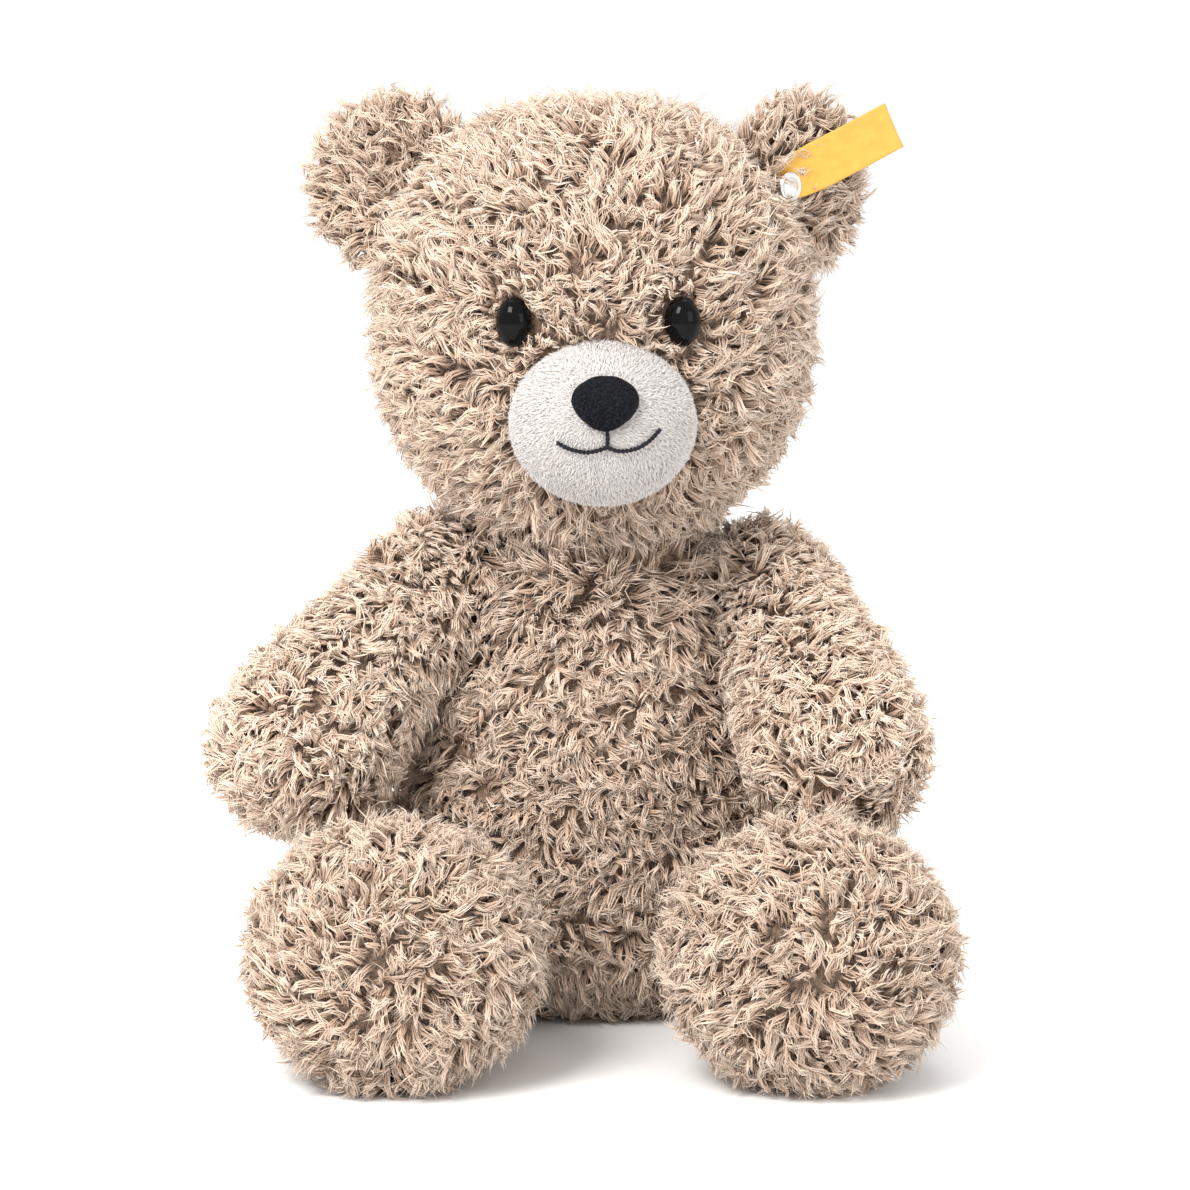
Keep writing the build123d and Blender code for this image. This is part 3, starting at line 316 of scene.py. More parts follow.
# muzzle pile: greyer at the root as painted shade between the tufts, whiter at the tip as a painted highlight
WHITE = pile_material("muzzle_pile",
                      [(0.0, (0.62, 0.575, 0.55, 1)), (0.5, (0.75, 0.712, 0.69, 1)), (1.0, (0.84, 0.81, 0.79, 1))],
                      [(0.0, (0.93, 0.92, 0.91, 1)), (0.5, (1.0, 1.0, 1.0, 1)), (1.0, (1.05, 1.05, 1.05, 1))],
                      rough=0.85, sheen=0.5, tint=(1, 1, 1, 1))
WHITE_SKIN = noise_material("muzzle_backing", [(0.3, (0.62, 0.575, 0.55, 1)), (0.7, (0.75, 0.71, 0.69, 1))], 1500, 0.95, 0.5, 2500)
NOSE = noise_material("nose_cloth", [(0.46, (0.0006, 0.0007, 0.0016, 1)), (0.68, (0.012, 0.0135, 0.021, 1))], 1500, 0.55, 1.0, 1300, spec=0.10, dist=0.0012)
THREAD = noise_material("mouth_stitch", [(0.35, (0.004, 0.004, 0.007, 1)), (0.65, (0.016, 0.016, 0.022, 1))], 1500, 0.7, 0.6, 2500, spec=0.2, dist=0.0002)
FILLING = noise_material("fibre_filling", [(0.3, (0.74, 0.73, 0.70, 1)), (0.7, (0.88, 0.87, 0.85, 1))], 220, 0.95, 0.8, 500)
PLASTIC = noise_material("joint_plastic", [(0.35, (0.175, 0.115, 0.08, 1)), (0.65, (0.22, 0.15, 0.105, 1))], 400, 0.5, 0.08, 1500, spec=0.5)
EYE = noise_material("eye_gloss", [(0.4, (0.0016, 0.0016, 0.002, 1)), (0.6, (0.004, 0.0035, 0.0035, 1))], 60, 0.05, 0.0, 60, spec=0.11)
METAL = noise_material("button_metal", [(0.35, (0.70, 0.69, 0.665, 1)), (0.65, (0.83, 0.82, 0.80, 1))], 700, 0.24, 0.05, 1500, spec=0.5, metal=1.0)


def ribbon_material():
    m, nt, b = new_mat("tag_ribbon")
    tc = nt.nodes.new("ShaderNodeUVMap")
    tc.uv_map = "OFBake"
    sc = nt.nodes.new("ShaderNodeVectorMath")
    sc.operation = "MULTIPLY"
    sc.inputs[1].default_value = (150, 60, 1)
    nt.links.new(tc.outputs["UV"], sc.inputs[0])
    ck = nt.nodes.new("ShaderNodeTexChecker")
    ck.inputs["Scale"].default_value = 1.0
    ck.inputs["Color1"].default_value = (0.68, 0.37, 0.048, 1)
    ck.inputs["Color2"].default_value = (0.60, 0.305, 0.032, 1)
    nt.links.new(sc.outputs[0], ck.inputs["Vector"])
    no = nt.nodes.new("ShaderNodeTexNoise")
    no.inputs["Scale"].default_value = 9
    no.inputs["Detail"].default_value = 4
    nt.links.new(tc.outputs["UV"], no.inputs["Vector"])
    rr = ramp(nt, [(0.3, (0.9, 0.88, 0.84, 1)), (0.7, (1.04, 1.04, 1.04, 1))], -200, -200)
    nt.links.new(no.outputs["Fac"], rr.inputs[0])
    mx = nt.nodes.new("ShaderNodeMix")
    mx.data_type, mx.blend_type = "RGBA", "MULTIPLY"
    mx.inputs[0].default_value = 1
    nt.links.new(ck.outputs[0], mx.inputs[6])
    nt.links.new(rr.outputs[0], mx.inputs[7])
    nt.links.new(mx.outputs[2], b.inputs["Base Color"])
    bp = nt.nodes.new("ShaderNodeBump")
    bp.inputs["Strength"].default_value = 0.35
    bp.inputs["Distance"].default_value = 0.0001
    nt.links.new(ck.outputs["Fac"], bp.inputs["Height"])
    nt.links.new(bp.outputs[0], b.inputs["Normal"])
    b.inputs["Roughness"].default_value = 0.5
    b.inputs["Sheen Weight"].default_value = 0.25
    return m


RIBBON = ribbon_material()


# --------------------------------------------------------------------- mesh helpers
def link(obj):
    bpy.context.scene.collection.objects.link(obj)
    return obj


def mesh_from(name, V, Fq, Ft, mat, uv=None, smooth=True):
    """Mesh from numpy quads and triangles; uv is one pair per vertex."""
    me = bpy.data.meshes.new(name)
    V = np.ascontiguousarray(V, dtype=np.float32)
    Fq = np.asarray(Fq, dtype=np.int32).reshape(-1, 4)
    Ft = np.asarray(Ft, dtype=np.int32).reshape(-1, 3)
    loops = np.concatenate([Fq.ravel(), Ft.ravel()])
    starts = np.concatenate([np.arange(len(Fq))*4, len(Fq)*4 + np.arange(len(Ft))*3]).astype(np.int32)
    me.vertices.add(len(V))
    me.vertices.foreach_set("co", V.ravel())
    me.loops.add(len(loops))
    me.loops.foreach_set("vertex_index", loops)
    me.polygons.add(len(starts))
    me.polygons.foreach_set("loop_start", starts)
    if uv is not None:
        layer = me.uv_layers.new(name="OFBake")
        layer.data.foreach_set("uv", np.ascontiguousarray(uv[loops], dtype=np.float32).ravel())
    me.update(calc_edges=True)
    me.polygons.foreach_set("use_smooth", np.full(len(starts), smooth))
    me.materials.append(mat)
    me.update()
    return link(bpy.data.objects.new(name, me))


def grid_solid(name, rings, mat, smooth=True):
    """Closed solid from rings (n, m, 3), its two ends closed by fans."""
    n, m = rings.shape[:2]
    V = np.concatenate([rings.reshape(-1, 3), rings[0].mean(0)[None], rings[-1].mean(0)[None]])
    i, j = np.meshgrid(np.arange(n - 1), np.arange(m), indexing="ij")
    a = i*m + j
    b = i*m + (j + 1) % m
    Fq = np.stack([a, b, b + m, a + m], -1).reshape(-1, 4)
    k = np.arange(m)
    Ft = np.concatenate([np.stack([np.full(m, n*m), (k + 1) % m, k], -1),
                         np.stack([np.full(m, n*m + 1), (n - 1)*m + k, (n - 1)*m + (k + 1) % m], -1)])
    c = rings.mean((0, 1))
    p0, p1, p2 = V[Fq[:, 0]], V[Fq[:, 1]], V[Fq[:, 2]]
    if np.sum(np.cross(p1 - p0, p2 - p0)*(p0 - c)) < 0:
        Fq = Fq[:, ::-1]
        Ft = Ft[:, ::-1]
    return mesh_from(name, V*MM, Fq, Ft, mat, smooth=smooth)


LOCK_S = (0.0, 0.25, 0.55, 0.8, 1.0)
LOCK_R = (0.75, 1.0, 0.95, 0.72, 0.30)


def strands(clumps, per, rng, radius, seg, twist=1.5, waves=6.0, stray=0.12):
    """Centre lines of the strands, `per` to a lock that curls as one.
    clumps: root, normal, flow, side, length, lift0, lift1, curl, phase, family"""
    P, N, T, B, L, a0, a1, curl, ph, fam = clumps
    n = len(P)
    rep = lambda x: np.repeat(x, per, axis=0)
    M = n*per
    loose = rng.random(M) < stray
    jr = np.sqrt(rng.random(M))*rep(radius)*np.where(loose, 1.5, 1.0)
    ja = rng.random(M)*2*np.pi
    s = np.linspace(0, 1, seg + 1)
    Ls = rep(L)*rng.uniform(0.84, 1.08, M)*np.where(loose, rng.uniform(0.8, 1.25, M), 1.0)
    l0 = rep(a0) + rng.normal(0, 0.06, M)
    l1 = rep(a1) + rng.normal(0, 1, M)*np.where(loose, 0.45, 0.08)
    side = rng.normal(0, 1, M)*np.where(loose, 0.35, 0.05)
    phs = rep(ph) + rng.normal(0, 0.14, M)
    cu = rep(curl)*rng.uniform(0.9, 1.1, M)
    Pn, Nn, Tn, Bn = rep(P), rep(N), rep(T), rep(B)
    rings = []
    pos = Pn.copy()
    for k in range(seg + 1):
        sk = s[k]
        if k:
            sm = 0.5*(s[k] + s[k - 1])
            th = l0 + (l1 - l0)*sm
            dd = Nn*np.cos(th)[:, None] + Tn*np.sin(th)[:, None] + Bn*(side*sm*1.6)[:, None]
            pos = pos + (Ls*(s[k] - s[k - 1]))[:, None]*dd
        grow = min(1.0, sk*1.6)
        wob = cu*grow*(np.sin(phs + waves*sk) - np.sin(phs)*(1 - sk))
        wob2 = cu*grow*(np.cos(phs + waves*sk) - np.cos(phs)*(1 - sk))
        rho = jr*np.where(loose, 1.0, np.interp(sk, LOCK_S, LOCK_R))
        ang = ja + twist*sk
        c = pos + Bn*(wob + rho*np.cos(ang))[:, None] + Tn*(0.6*wob2 + rho*np.sin(ang)*0.85)[:, None] \
            + Nn*(0.55*rho*np.sin(ang + 0.9) + 0.55*wob2)[:, None]
        rings.append(c)
    C = np.stack(rings, 1)
    return C, rep(fam) + rng.normal(0, 0.06, M), s


def strand_mesh(name, C, fam, s, thick, mat, rng, taper=(1.0, 1.0, 0.92, 0.62)):
    """Tubes round the centre lines C (M, K+1, 3); the last point is the tip."""
    M, K1 = C.shape[:2]
    K = K1 - 1
    D = np.empty_like(C)
    D[:, :-1] = C[:, 1:] - C[:, :-1]
    D[:, -1] = D[:, -2]
    D = unit(D)
    ref = unit(rng.normal(size=(M, 3)))
    w = np.where(rng.random(M) < 0.3, rng.uniform(0.5, 0.7, M), rng.uniform(0.95, 1.2, M))*thick*0.5
    V = np.empty((M, K*3 + 1, 3))
    tp = np.interp(np.linspace(0, 1, K), np.linspace(0, 1, len(taper)), taper)
    for k in range(K):
        e1 = unit(np.cross(D[:, k], ref))
        e2 = np.cross(D[:, k], e1)
        for q in range(3):
            a = 2*np.pi*q/3
            V[:, k*3 + q] = C[:, k] + (w*tp[k])[:, None]*(math.cos(a)*e1 + math.sin(a)*e2)
    V[:, -1] = C[:, -1]
    per = K*3 + 1
    base = (np.arange(M)*per)[:, None]
    q = []
    for k in range(K - 1):
        for j in range(3):
            j2 = (j + 1) % 3
            q.append([k*3 + j, k*3 + j2, (k + 1)*3 + j2, (k + 1)*3 + j])
    t = [[0, 2, 1]] + [[(K - 1)*3 + j, (K - 1)*3 + (j + 1) % 3, K*3] for j in range(3)]
    Fq = (base[:, None] + np.array(q)[None]).reshape(-1, 4)
    Ft = (base[:, None] + np.array(t)[None]).reshape(-1, 3)
    vv = np.concatenate([np.repeat(s[:K], 3), [1.0]])
    uv = np.empty((M, per, 2))
    uv[..., 0] = np.clip(fam, 0.02, 0.98)[:, None]
    uv[..., 1] = np.clip(vv, 0.01, 0.99)[None]
    return mesh_from(name, V.reshape(-1, 3)*MM, Fq, Ft, mat, uv.reshape(-1, 2))


def tangent(f, N):
    return unit(f - np.sum(f*N, 1)[:, None]*N)


def clump_set(P, N, F, rng, length, lift0, lift1, curl, jitter=0.5, seed=1, sink=0.0):
    """Clump arguments from roots, normals and a flow field."""
    n = len(P)
    F = F + jitter*(wave(P, 13.0, seed) + 0.85*rng.normal(size=(n, 3)))
    T = tangent(F, N)
    B = np.cross(N, T)
    L = length*rng.uniform(0.8, 1.2, n)
    a0 = np.radians(rng.uniform(*lift0, n))
    a1 = np.radians(rng.uniform(*lift1, n)) - np.where(rng.random(n) < 0.14, 0.5, 0.0)
    cu = curl*rng.uniform(0.5, 1.3, n)*rng.choice([-1, 1], n)
    fam = np.clip(rng.normal(0.5, 0.2, n), 0.03, 0.97)
    return [P - sink*N, N, T, B, L, a0, a1, cu, rng.random(n)*6.28, fam]


TRI_CAP = 190000


def fur_pieces(name, body, C, fam, s, thick, mat, rng):
    K = C.shape[1] - 1
    tris = 3*2*(K - 1) + 4
    parts = max(1, math.ceil(len(C)*tris/TRI_CAP))
    order = np.argsort(C[:, 0, 2] + 0.0*C[:, 0, 0], kind="stable")
    out = []
    for i, idx in enumerate(np.array_split(order, parts)):
        o = strand_mesh("%s_%d" % (name, i + 1), C[idx], fam[idx], s, thick, mat, rng)
        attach(o, body)
        out.append(o)
    return out


# ------------------------------------------------------------------ skins and roots
SINK = 5.2          # backing below the outside of the CAD form
GAP = 2.70
PER = 8


def land_clip(P, body, amount, reach, give=0.0):
    """Keep limb points off the joint land; give lets the pile fluff over it away from the joint."""
    O, w = AXLE[body]
    v = P - O
    h = v@w
    r = np.linalg.norm(v - h[..., None]*w, axis=-1)
    lim = amount - give*np.clip((r - 17)/12, 0, 1)
    k = np.minimum(h - lim, 0)
    if body.endswith("leg"):
        k = np.where(-v[..., 1] < reach, k, 0)
    return P - k[..., None]*w


def torso_clip(P, amount, give=0.0):
    """Press torso points back behind the four limb lands."""
    for body, R in (("right_arm", 31.0), ("left_arm", 31.0), ("right_leg", 40.0), ("left_leg", 40.0)):
        O, w = AXLE[body]
        v = P - O
        h = v@w
        r = np.linalg.norm(v - h[..., None]*w, axis=-1)
        soft = np.clip((R + 3 - r)/6.0, 0, 1)
        lim = -amount + give*np.clip((r - 17)/12, 0, 1)
        if body.endswith("leg"):
            lim = lim + 1.6*give*np.clip((r - 30)/6, 0, 1)
        k = np.maximum(h - lim, 0)*soft
        k = np.where(h < 30, k, 0)
        P = P - k[..., None]*w
    return P


def skin(name, form, body, replaces, clip=None, nu=90, nv=96, sink=SINK, mat=SKIN, lump=0.35, seed=3,
         ease=None):
    x = np.linspace(0.0, form.length, nu)
    s = form.s_of_arc(x)
    th = np.linspace(0, 2*np.pi, nv, endpoint=False)
    S, T = np.meshgrid(s, th, indexing="ij")
    P, N = form.at(S.ravel(), T.ravel())
    k = np.ones(len(P)) if ease is None else ease(P, N)
    P = P - N*(sink*k)[:, None] + N*(lump*np.clip(wave(P, 24, seed)[:, 0], -1.2, 1.2))[:, None]
    if clip is not None:
        P = clip(P)
    R = P.reshape(nu, nv, 3)
    o = grid_solid(name, R[1:-1], mat)
    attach(o, body)
    if replaces:
        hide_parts(*replaces)
    return o


def filling(name, form, body, node, clip=None, sink=7.0, nu=60, nv=64, seed=5, ease=None):
    """Loose lumps of fibre that fill a cover."""
    x = np.linspace(0.0, form.length, nu)
    th = np.linspace(0, 2*np.pi, nv, endpoint=False)
    S, T = np.meshgrid(form.s_of_arc(x), th, indexing="ij")
    P, N = form.at(S.ravel(), T.ravel())
    k = np.ones(len(P)) if ease is None else ease(P, N)
    w1 = wave(P, 15, seed)[:, 0]
    w2 = wave(P, 6, seed + 1)[:, 0]
    P = P - N*(sink*k + np.clip(0.7*w1 + 0.35*w2, -1.1, 1.6))[:, None]
    if clip is not None:
        P = clip(P)
    o = grid_solid(name, P.reshape(nu, nv, 3)[2:-2], FILLING)
    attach(o, body)
    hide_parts(node)
    return o


def fur_on(name, form, body, flow, rng, keep=None, clip=None, length=10.5, lift0=(8, 42), lift1=(48, 112), curl=0.9,
           jitter=0.5, gap=None, per=PER, thick=0.58, sink=SINK, seg=4, seed=1, radius=1.15, mod=None, shade=0.0):
    s, th = form.scatter(gap or GAP, rng)
    P, N = form.at(s, th)
    if keep is not None:
        k = keep(P, N)
        P, N = P[k], N[k]
    F = flow(P, N)
    cl = clump_set(P, N, F, rng, length, lift0, lift1, curl, jitter, seed, sink)
    if mod is not None:
        cl = mod(P, N, cl)
    # painted light and shade: a per-part offset of the lock tint, lighter on the arms and darker on the head, ears and
    # legs
    cl[9] = np.clip(cl[9] + shade, 0.03, 0.97)
    C, fam, ss = strands(cl, per, rng, np.full(len(P), radius), seg)
    if clip is not None:
        C = clip(C)
    C[..., 2] = np.maximum(C[..., 2], 0.35)
    return fur_pieces(name, body, C, fam, ss, thick, FUR, rng)


# torso ---------------------------------------------------------------------------
UP = np.array([0, 0, 1.0])
skin("torso_plush", F_TORSO, "torso", ["torso_cover_left", "torso_cover_right"],
     clip=lambda P: torso_clip(P, 0.35), sink=3.9, seed=11,
     ease=lambda P, N: np.where((N[:, 2] > 0.7) & (P[:, 2] > 138), 0.12, 1.0))
filling("torso_fibre", F_TORSO, "torso", "torso_stuffing", clip=lambda P: torso_clip(P, 8.5), seed=211)


def torso_keep(P, N):
    k = np.ones(len(P), bool)
    for body in ("right_arm", "left_arm", "right_leg", "left_leg"):
        O, w = AXLE[body]
        v = P - O
        h = v@w
        r = np.linalg.norm(v - h[:, None]*w, axis=1)
        k &= ~((r < 15) & (h > -6) & (h < 30))
    k &= ~((P[:, 2] > 139.5) & (np.hypot(P[:, 0], P[:, 1]) < 17))
    return k


def torso_flow(P, N):
    return np.array([0, 0, -1.0]) + 0.25*unit(P*np.array([1, 1, 0]))


def torso_mod(P, N, cl):
    """Longer, upright pile round the neck and on the tops of the shoulders, darkened there as painted shade in the neck
    crease.
    """
    up = np.clip((P[:, 2] - 118)/14, 0, 1)
    cl[4] = cl[4]*(1 + 0.45*up)
    cl[5] = cl[5]*(1 - 0.6*up)
    cl[6] = cl[6]*(1 - 0.55*up)
    # painted shade in the neck crease
    cl[9] = cl[9] - 0.25*up
    return cl


g = np.random.default_rng(101)
fur_on("torso_fur", F_TORSO, "torso", torso_flow, g, keep=torso_keep, clip=lambda C: torso_clip(C, 0.2, 4.5),
       jitter=0.85, seed=21, sink=4.0, lift1=(56, 124), length=9.8, curl=1.6, mod=torso_mod)

# head ----------------------------------------------------------------------------
HEAD_C = np.array([HEAD_X, -4, 210.0])


def eye_geo(side):
    ex, ez = EYES[side]
    u = (ex - HEAD_X)/64.0
    ey = -4 - 55.5*math.sqrt(1 - u*u)
    t = math.radians(14.0 if ex > 0 else -14.0)
    return np.array([ex, ey, ez]), np.array([math.cos(t), math.sin(t), 0]), np.array([math.sin(t), -math.cos(t), 0])


skin("head_plush", F_HEAD, "head", ["head_cover_left", "head_cover_right", "head_gusset"], nu=110, nv=120, sink=4.0, seed=12,
     ease=lambda P, N: np.where((N[:, 2] < -0.7) & (P[:, 2] < 145), 0.12, 1.0))
filling("head_fibre", F_HEAD, "head", "head_stuffing", seed=212, nu=70, nv=80)


def muzzle_level(P, grow=0.0):
    """Below 1 inside the muzzle's outline on the face."""
    r = ((P[:, 0] - MUZZLE_C[0])/(MUZZLE_R + grow))**2 + ((P[:, 2] - MUZZLE_C[2])/(MUZZLE_H + grow))**2
    return np.where(P[:, 1] < -20, r, 9.0)


def head_keep(P, N):
    k = muzzle_level(P, -0.6) > 1
    for side in EYES:
        c, ex, en = eye_geo(side)
        v = P - c
        x, z = v@ex, v[:, 2]
        k &= ~(((x/(EYE_W/2 + 0.5))**2 + (z/(EYE_H/2 + 0.5))**2 < 1) & (P[:, 1] < 0))
    for side in EAR:
        k &= ~(F_EAR[side].depth(P) > 2.5)
    k &= ~((P[:, 2] < 143.5) & (np.hypot(P[:, 0] + 2, P[:, 1]) < 17))
    return k


def head_flow(P, N):
    rad = unit(P - (MUZZLE_C + np.array([0, -10, 6.0])))
    front = np.clip((-P[:, 1] + 20)/60, 0, 1)[:, None]
    f = rad*front + (1 - front)*np.array([0, 0.15, -1.0])
    for side in EYES:
        c, ex, en = eye_geo(side)
        v = P - c
        r = np.linalg.norm(v, axis=1)
        f = f + unit(v)*(1.6*np.exp(-(r/9.5)**4))[:, None]
    return f


def head_mod(P, N, cl):
    """Shorter, more upright pile beside the eyes and round the muzzle."""
    short = np.ones(len(P))
    close = np.zeros(len(P))
    for side in EYES:
        c, ex, en = eye_geo(side)
        v = P - c
        r = np.sqrt((v@ex)**2 + (v[:, 2]*0.8)**2 + np.where(P[:, 1] < -20, 0, 900))
        short = np.minimum(short, 0.58 + 0.42*np.clip((r - 6)/9, 0, 1))
        close = np.maximum(close, np.clip((11 - r)/5, 0, 1))
    lv = np.sqrt(np.maximum(muzzle_level(P), 0))
    close = np.maximum(close, np.clip((1.16 - lv)/0.12, 0, 1))
    short = np.minimum(short, 0.74 + 0.26*np.clip((lv - 1.0)/0.2, 0, 1))
    cl[4] = cl[4]*short
    cl[5] = cl[5]*(1 - 0.7*close)
    cl[6] = cl[6]*(1 - 0.42*close)
    cl[7] = cl[7]*(1 - 0.35*close)
    return cl


g = np.random.default_rng(102)
# head pile painted slightly darker: painted shade
fur_on("head_fur", F_HEAD, "head", head_flow, g, keep=head_keep, jitter=0.72, seed=22, sink=4.0, mod=head_mod,
       lift0=(4, 34), lift1=(46, 108), length=9.9, curl=1.5, shade=-0.06)

# ears ----------------------------------------------------------------------------
BUTTON_C = None
for side in EAR:
    c = np.array(EAR[side][0])
    M = rot_z(EAR[side][1])
    form = F_EAR[side]
    skin("%s_ear_plush" % side, form, "head", ["%s_ear_front" % side, "%s_ear_back" % side], nu=50, nv=64, sink=2.8,
         seed=31, lump=0.25)

    def ear_keep(P, N, side=side):
        k = F_HEAD.depth(P) < 1.0
        if side == "left":
            v = P - BPOS
            k &= ~((np.linalg.norm(v - (v@BN)[:, None]*BN, axis=1) < 4.6) & (v@BN > -6) & (N@BN > 0.3))
        return k

    def ear_flow(P, N, c=c):
        return unit(P - HEAD_C)*0.8 + unit(P - c)*0.6

    if side == "left":
        BN = M@np.array([0, -1.0, 0])
        BPOS = c + M@np.array([-10.3, 0, 0]) + np.array([0, 0, 0.6])
    g = np.random.default_rng(110 + len(side))
    # ear pile painted darker: painted shade
    fur_on("%s_ear_fur" % side, form, "head", ear_flow, g, keep=ear_keep, length=8.6, lift0=(10, 40), lift1=(50, 110),
           sink=2.8, jitter=0.7, seed=40 + len(side), curl=1.3, radius=1.15, gap=GAP*0.97, shade=-0.22)

# arms ----------------------------------------------------------------------------
for i, side in enumerate(("right", "left")):
    form = F_ARM[side]
    body = side + "_arm"
    O, w = AXLE[body]
    skin("%s_arm_plush" % side, form, body, ["%s_arm_cover_outer" % side, "%s_arm_cover_inner" % side],
         clip=lambda P, body=body: land_clip(P, body, 0.35, 0), nu=70, nv=72, sink=3.9, seed=50 + i)
    filling("%s_arm_fibre" % side, form, body, "%s_arm_stuffing" % side,
            clip=lambda P, body=body: land_clip(P, body, 6.0, 0), nu=46, nv=44, seed=220 + i)

    def arm_keep(P, N, O=O, w=w):
        v = P - O
        h = v@w
        r = np.linalg.norm(v - h[:, None]*w, axis=1)
        return ~((h < 0.6) & (r < 14)) & (h > -4.5)

    def arm_flow(P, N, form=form):
        s = (P - form.O)@form.d
        tip = np.clip((s - 66)/22, 0, 1)[:, None]
        c = form.O + 72*form.d + 0*form.u
        ax = P - (form.O + ((P - form.O)@form.d)[:, None]*form.d)
        sw = np.cross(np.broadcast_to(form.d, P.shape), unit(ax))
        return form.d*(1 - 0.6*tip) + tip*(0.5*sw + 0.3*unit(ax))

    def arm_mod(P, N, cl, O=O, w=w):
        v = P - O
        up = np.clip((P[:, 2] - O[2] - 6)/8, 0, 1)*np.clip((14 - v@w)/8, 0, 1)
        cl[4] = cl[4]*(1 + 0.35*up)
        cl[5] = cl[5]*(1 - 0.5*up)
        cl[6] = cl[6]*(1 - 0.5*up)
        # painted shade: the pile on the top of the shoulder, beside the neck, is darkened
        cl[9] = cl[9] - 0.45*up
        return cl

    g = np.random.default_rng(120 + i)
    # arm pile painted lighter: painted light
    fur_on("%s_arm_fur" % side, form, body, arm_flow, g, keep=arm_keep, clip=lambda C, body=body: land_clip(C, body, 0.2, 0, 5.5),
           jitter=0.72, seed=60 + i, sink=3.9, length=9.9, curl=1.5, shade=0.26, mod=arm_mod)

# legs ----------------------------------------------------------------------------
for i, side in enumerate(("right", "left")):
    form = F_LEG[side]
    body = side + "_leg"
    O, w = AXLE[body]

    def leg_clip(P, body=body, lo=0.35, floor=3.0, give=0.0):
        P = land_clip(P, body, lo, 48.0, give)
        P[..., 2] = np.maximum(P[..., 2], floor)
        return P

    skin("%s_leg_plush" % side, form, body, ["%s_leg_cover_outer" % side, "%s_leg_cover_inner" % side, "%s_leg_sole" % side],
         clip=leg_clip, nu=90, nv=90, sink=3.9, seed=70 + i)
    filling("%s_leg_fibre" % side, form, body, "%s_leg_stuffing" % side,
            clip=lambda P, leg_clip=leg_clip: leg_clip(P, lo=6.0, floor=6.5), nu=60, nv=56, seed=230 + i)

    def leg_keep(P, N, O=O, w=w):
        v = P - O
        h = v@w
        r = np.linalg.norm(v - h[:, None]*w, axis=1)
        s = -(P[:, 1] - O[1])
        return ~((s < 48) & (h < 0.6) & ((r < 15) | (h < -4.5)))

    def leg_flow(P, N, form=form, i=i):
        s = (P - form.O)@form.d
        c = form.O + 120*form.d + 17.5*form.u + 10.2*form.v
        v = P - c
        ax = v - (v@form.d)[:, None]*form.d
        sole = np.clip((s - 100)/18, 0, 1)[:, None]
        rad = unit(ax + 1e-3)
        sw = np.cross(np.broadcast_to(form.d, P.shape), rad)*(1 if i else -1)
        return form.d*(1 - sole)*0.9 + sole*(0.85*rad + 0.45*sw) + np.array([0, 0, -0.25])*(1 - sole)

    def leg_mod(P, N, cl, O=O):
        s = -(P[:, 1] - O[1])
        up = np.clip((N[:, 2] - 0.25)/0.3, 0, 1)*np.clip((60 - s)/15, 0, 1)
        cl[4] = cl[4]*(1 + 0.4*up)
        cl[5] = cl[5]*(1 - 0.5*up)
        cl[6] = cl[6]*(1 - 0.5*up)
        return cl

    g = np.random.default_rng(130 + i)
    # leg pile painted darker: painted shade
    fur_on("%s_leg_fur" % side, form, body, leg_flow, g, keep=leg_keep,
           clip=lambda C, body=body: leg_clip(C, body, 0.3, 0.35, 3.5), jitter=0.7, seed=80 + i, sink=3.9, length=9.9, curl=1.5, mod=leg_mod, shade=-0.13)

# muzzle --------------------------------------------------------------------------
def muzzle_grid(nu, nv, r0):
    t = np.linspace(0, 1, nu)
    phi = np.radians(132*t)
    th = np.linspace(0, 2*np.pi, nv, endpoint=False)
    PH, TH = np.meshgrid(phi, th, indexing="ij")
    x = np.sin(PH)*np.cos(TH)
    z = np.sin(PH)*np.sin(TH)
    y = -np.cos(PH)
    return np.stack([x*r0, y*r0, z*(r0 - (MUZZLE_R - MUZZLE_H))], -1)


def on_muzzle(x, z, lift=0.0):
    u, v = x - MUZZLE_C[0], z - MUZZLE_C[2]
    k = np.maximum(1 - (v/MUZZLE_H)**2 - (u/MUZZLE_R)**2, 0.01)
    P = np.stack([x, MUZZLE_C[1] - MUZZLE_R*np.sqrt(k), z], -1)
    N = unit(np.stack([u/MUZZLE_R**2, (P[..., 1] - MUZZLE_C[1])/MUZZLE_R**2, v/MUZZLE_H**2], -1))
    return P + N*lift, N


G = muzzle_grid(60, 90, MUZZLE_R - 1.3) + MUZZLE_C
mz = grid_solid("muzzle_plush", G[1:], WHITE_SKIN)
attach(mz, "head")
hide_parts("muzzle_cover")

G = muzzle_grid(40, 60, MUZZLE_R - 5.2) + MUZZLE_C
wv = wave(G.reshape(-1, 3), 9, 240)[:, 0].reshape(G.shape[:2])
G = MUZZLE_C + (G - MUZZLE_C)*(1 + 0.02*np.clip(wv, -1.5, 1.2))[..., None]
mf = grid_solid("muzzle_fibre", G[1:], FILLING)
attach(mf, "head")
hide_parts("muzzle_stuffing")

